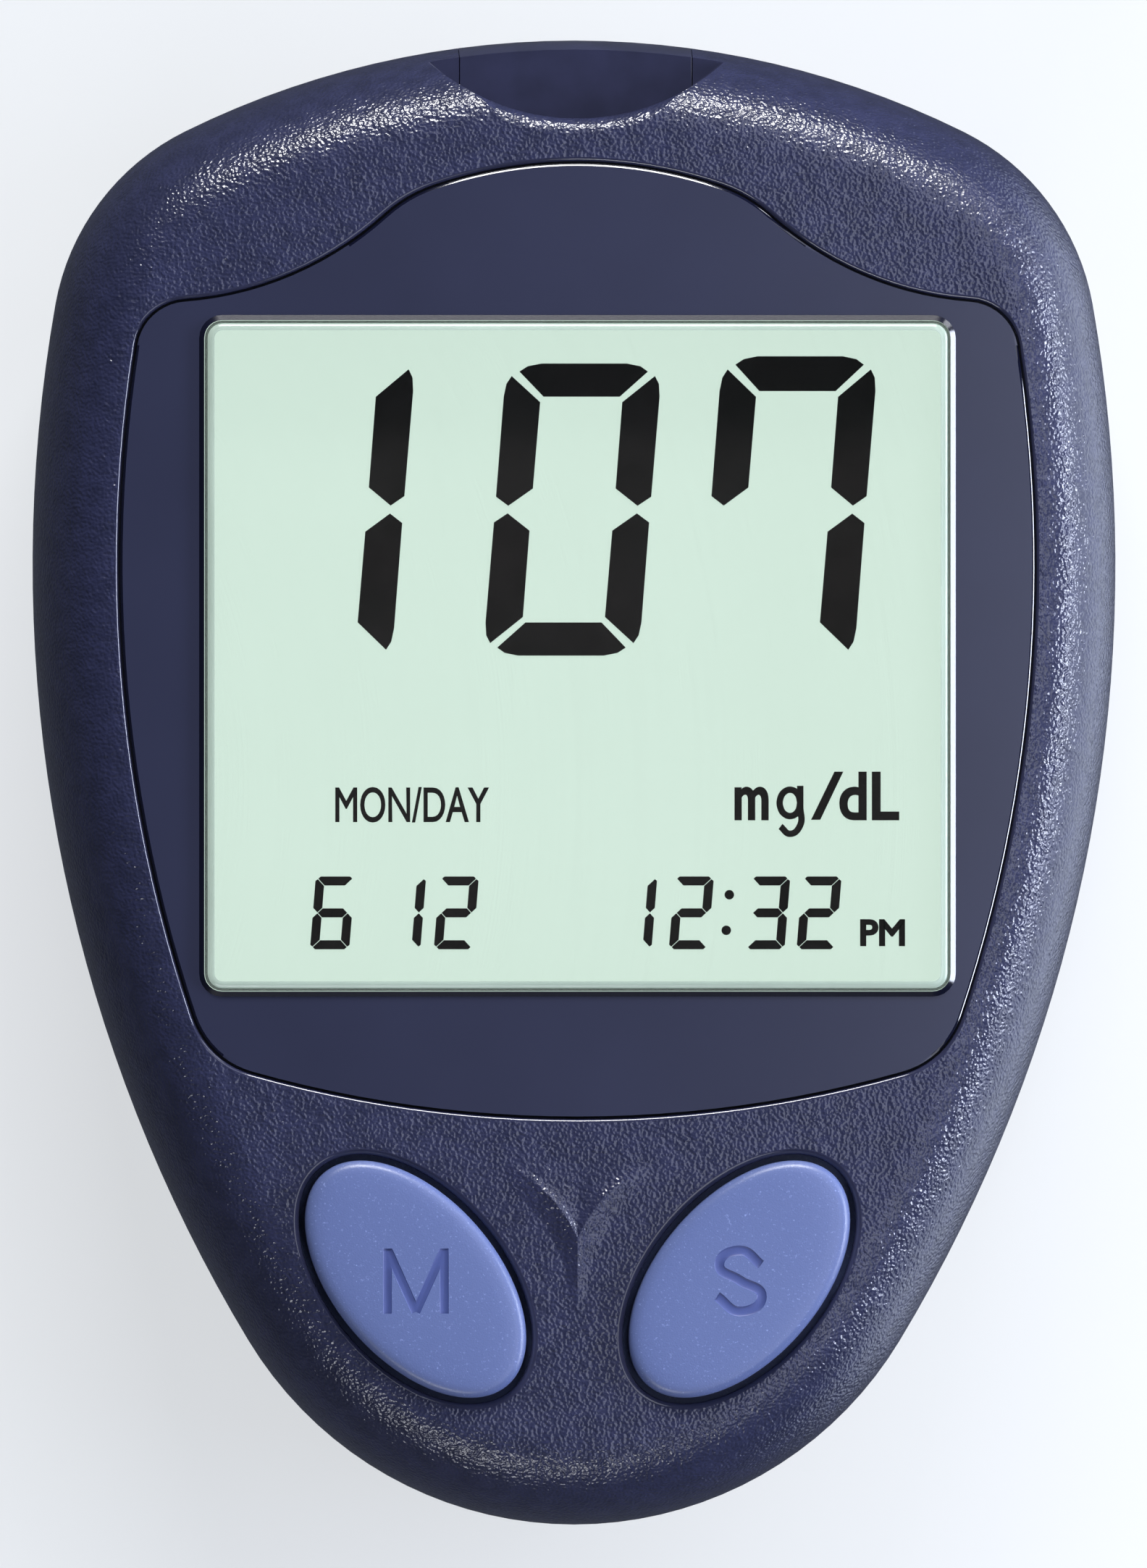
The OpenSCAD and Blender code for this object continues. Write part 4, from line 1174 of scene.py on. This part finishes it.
floor_bm = bmesh.new()
under_feet = Matrix.Translation((0, 0, -0.02 * MM))
bmesh.ops.create_grid(floor_bm, x_segments=8, y_segments=8, size=3, matrix=under_feet)
floor_mesh = bpy.data.meshes.new("floor")
floor_bm.to_mesh(floor_mesh)
floor = in_scene("floor", floor_mesh)
pale = linear("F4F7FA")
table = moulded("light_table", "737578", "77797C", 2, 0.01, (0.8, 0.9), mottle=300, Emission_Color=pale)
table_place = add(table.node_tree, "TexCoord").outputs["Object"]
table_glow = slope(table.node_tree, table_place, (0.94, -0.34, 0), (0.012, 0.032), (0.675, 0.745))
table.node_tree.links.new(table_glow, table.node_tree.nodes["Principled BSDF"].inputs["Emission Strength"])
floor_mesh.materials.append(table)
floor.visible_glossy = False


def soft_box(name, power, size, at, aim, tint):
    """An area light that points at a spot and that the camera doesn't see."""
    lamp = bpy.data.lights.new(name, "AREA")
    lamp.shape = "RECTANGLE"
    lamp.size, lamp.size_y = size
    lamp.energy = power
    lamp.color = linear(tint)[:3]
    holder = in_scene(name, lamp)
    holder.location = at
    holder.rotation_euler = (Vector(aim) - Vector(at)).to_track_quat("-Z", "Y").to_euler()
    holder.visible_camera = False


soft_box("port_end_light", 7.5, (0.36, 0.14), (0.02, 0.6, 0.33), (0, 0.02, 0.02), "FFFFFF")
soft_box("corner_light", 0.6, (0.2, 0.06), (0.42, 0.4, 0.19), (0, 0, 0.02), "F4F7FF")
soft_box("high_right_light", 0.15, (0.06, 0.3), (0.065, 0.0, 0.15), (0.065, 0, 0.02), "EEF3FF")
soft_box("low_right_strip", 3.5, (0.4, 0.055), (0.5, 0.0, 0.16), (0, 0, 0.02), "E4ECFF")
soft_box("tail_light", 1.4, (0.36, 0.12), (-0.14, -0.52, 0.33), (0, 0, 0.02), "F6F8FF")

room = bpy.data.worlds.new("pale_room")
bpy.context.scene.world = room
room.use_nodes = True
sky = room.node_tree
heading = add(sky, "TexCoord").outputs["Generated"]
glow = slope(sky, heading, (0.906, 0, -0.423), (0.7, 0.95), (0.09, 2.3))
sky.nodes["Background"].inputs["Color"].default_value = linear("DCE6FA")
sky.links.new(glow, sky.nodes["Background"].inputs["Strength"])
bpy.context.scene.cycles.transparent_max_bounces = 24
bpy.context.scene.view_settings.view_transform = "Standard"

# %% Camera
VIEW_H = 91.93
LENS = 1000
TILT = math.radians(-1.2)
AIM = Vector((-0.02, -0.085, SEAM_Z)) * MM
shot = bpy.data.cameras.new("camera")
shot.lens = LENS
shot.sensor_width = 36
reach = VIEW_H * MM * LENS / shot.sensor_width
shot.clip_start = 0.1
shot.clip_end = 10
camera = in_scene("camera", shot)
camera.location = AIM + Vector((math.sin(TILT), 0, math.cos(TILT))) * reach
camera.rotation_euler = (0, TILT, 0)
bpy.context.scene.camera = camera
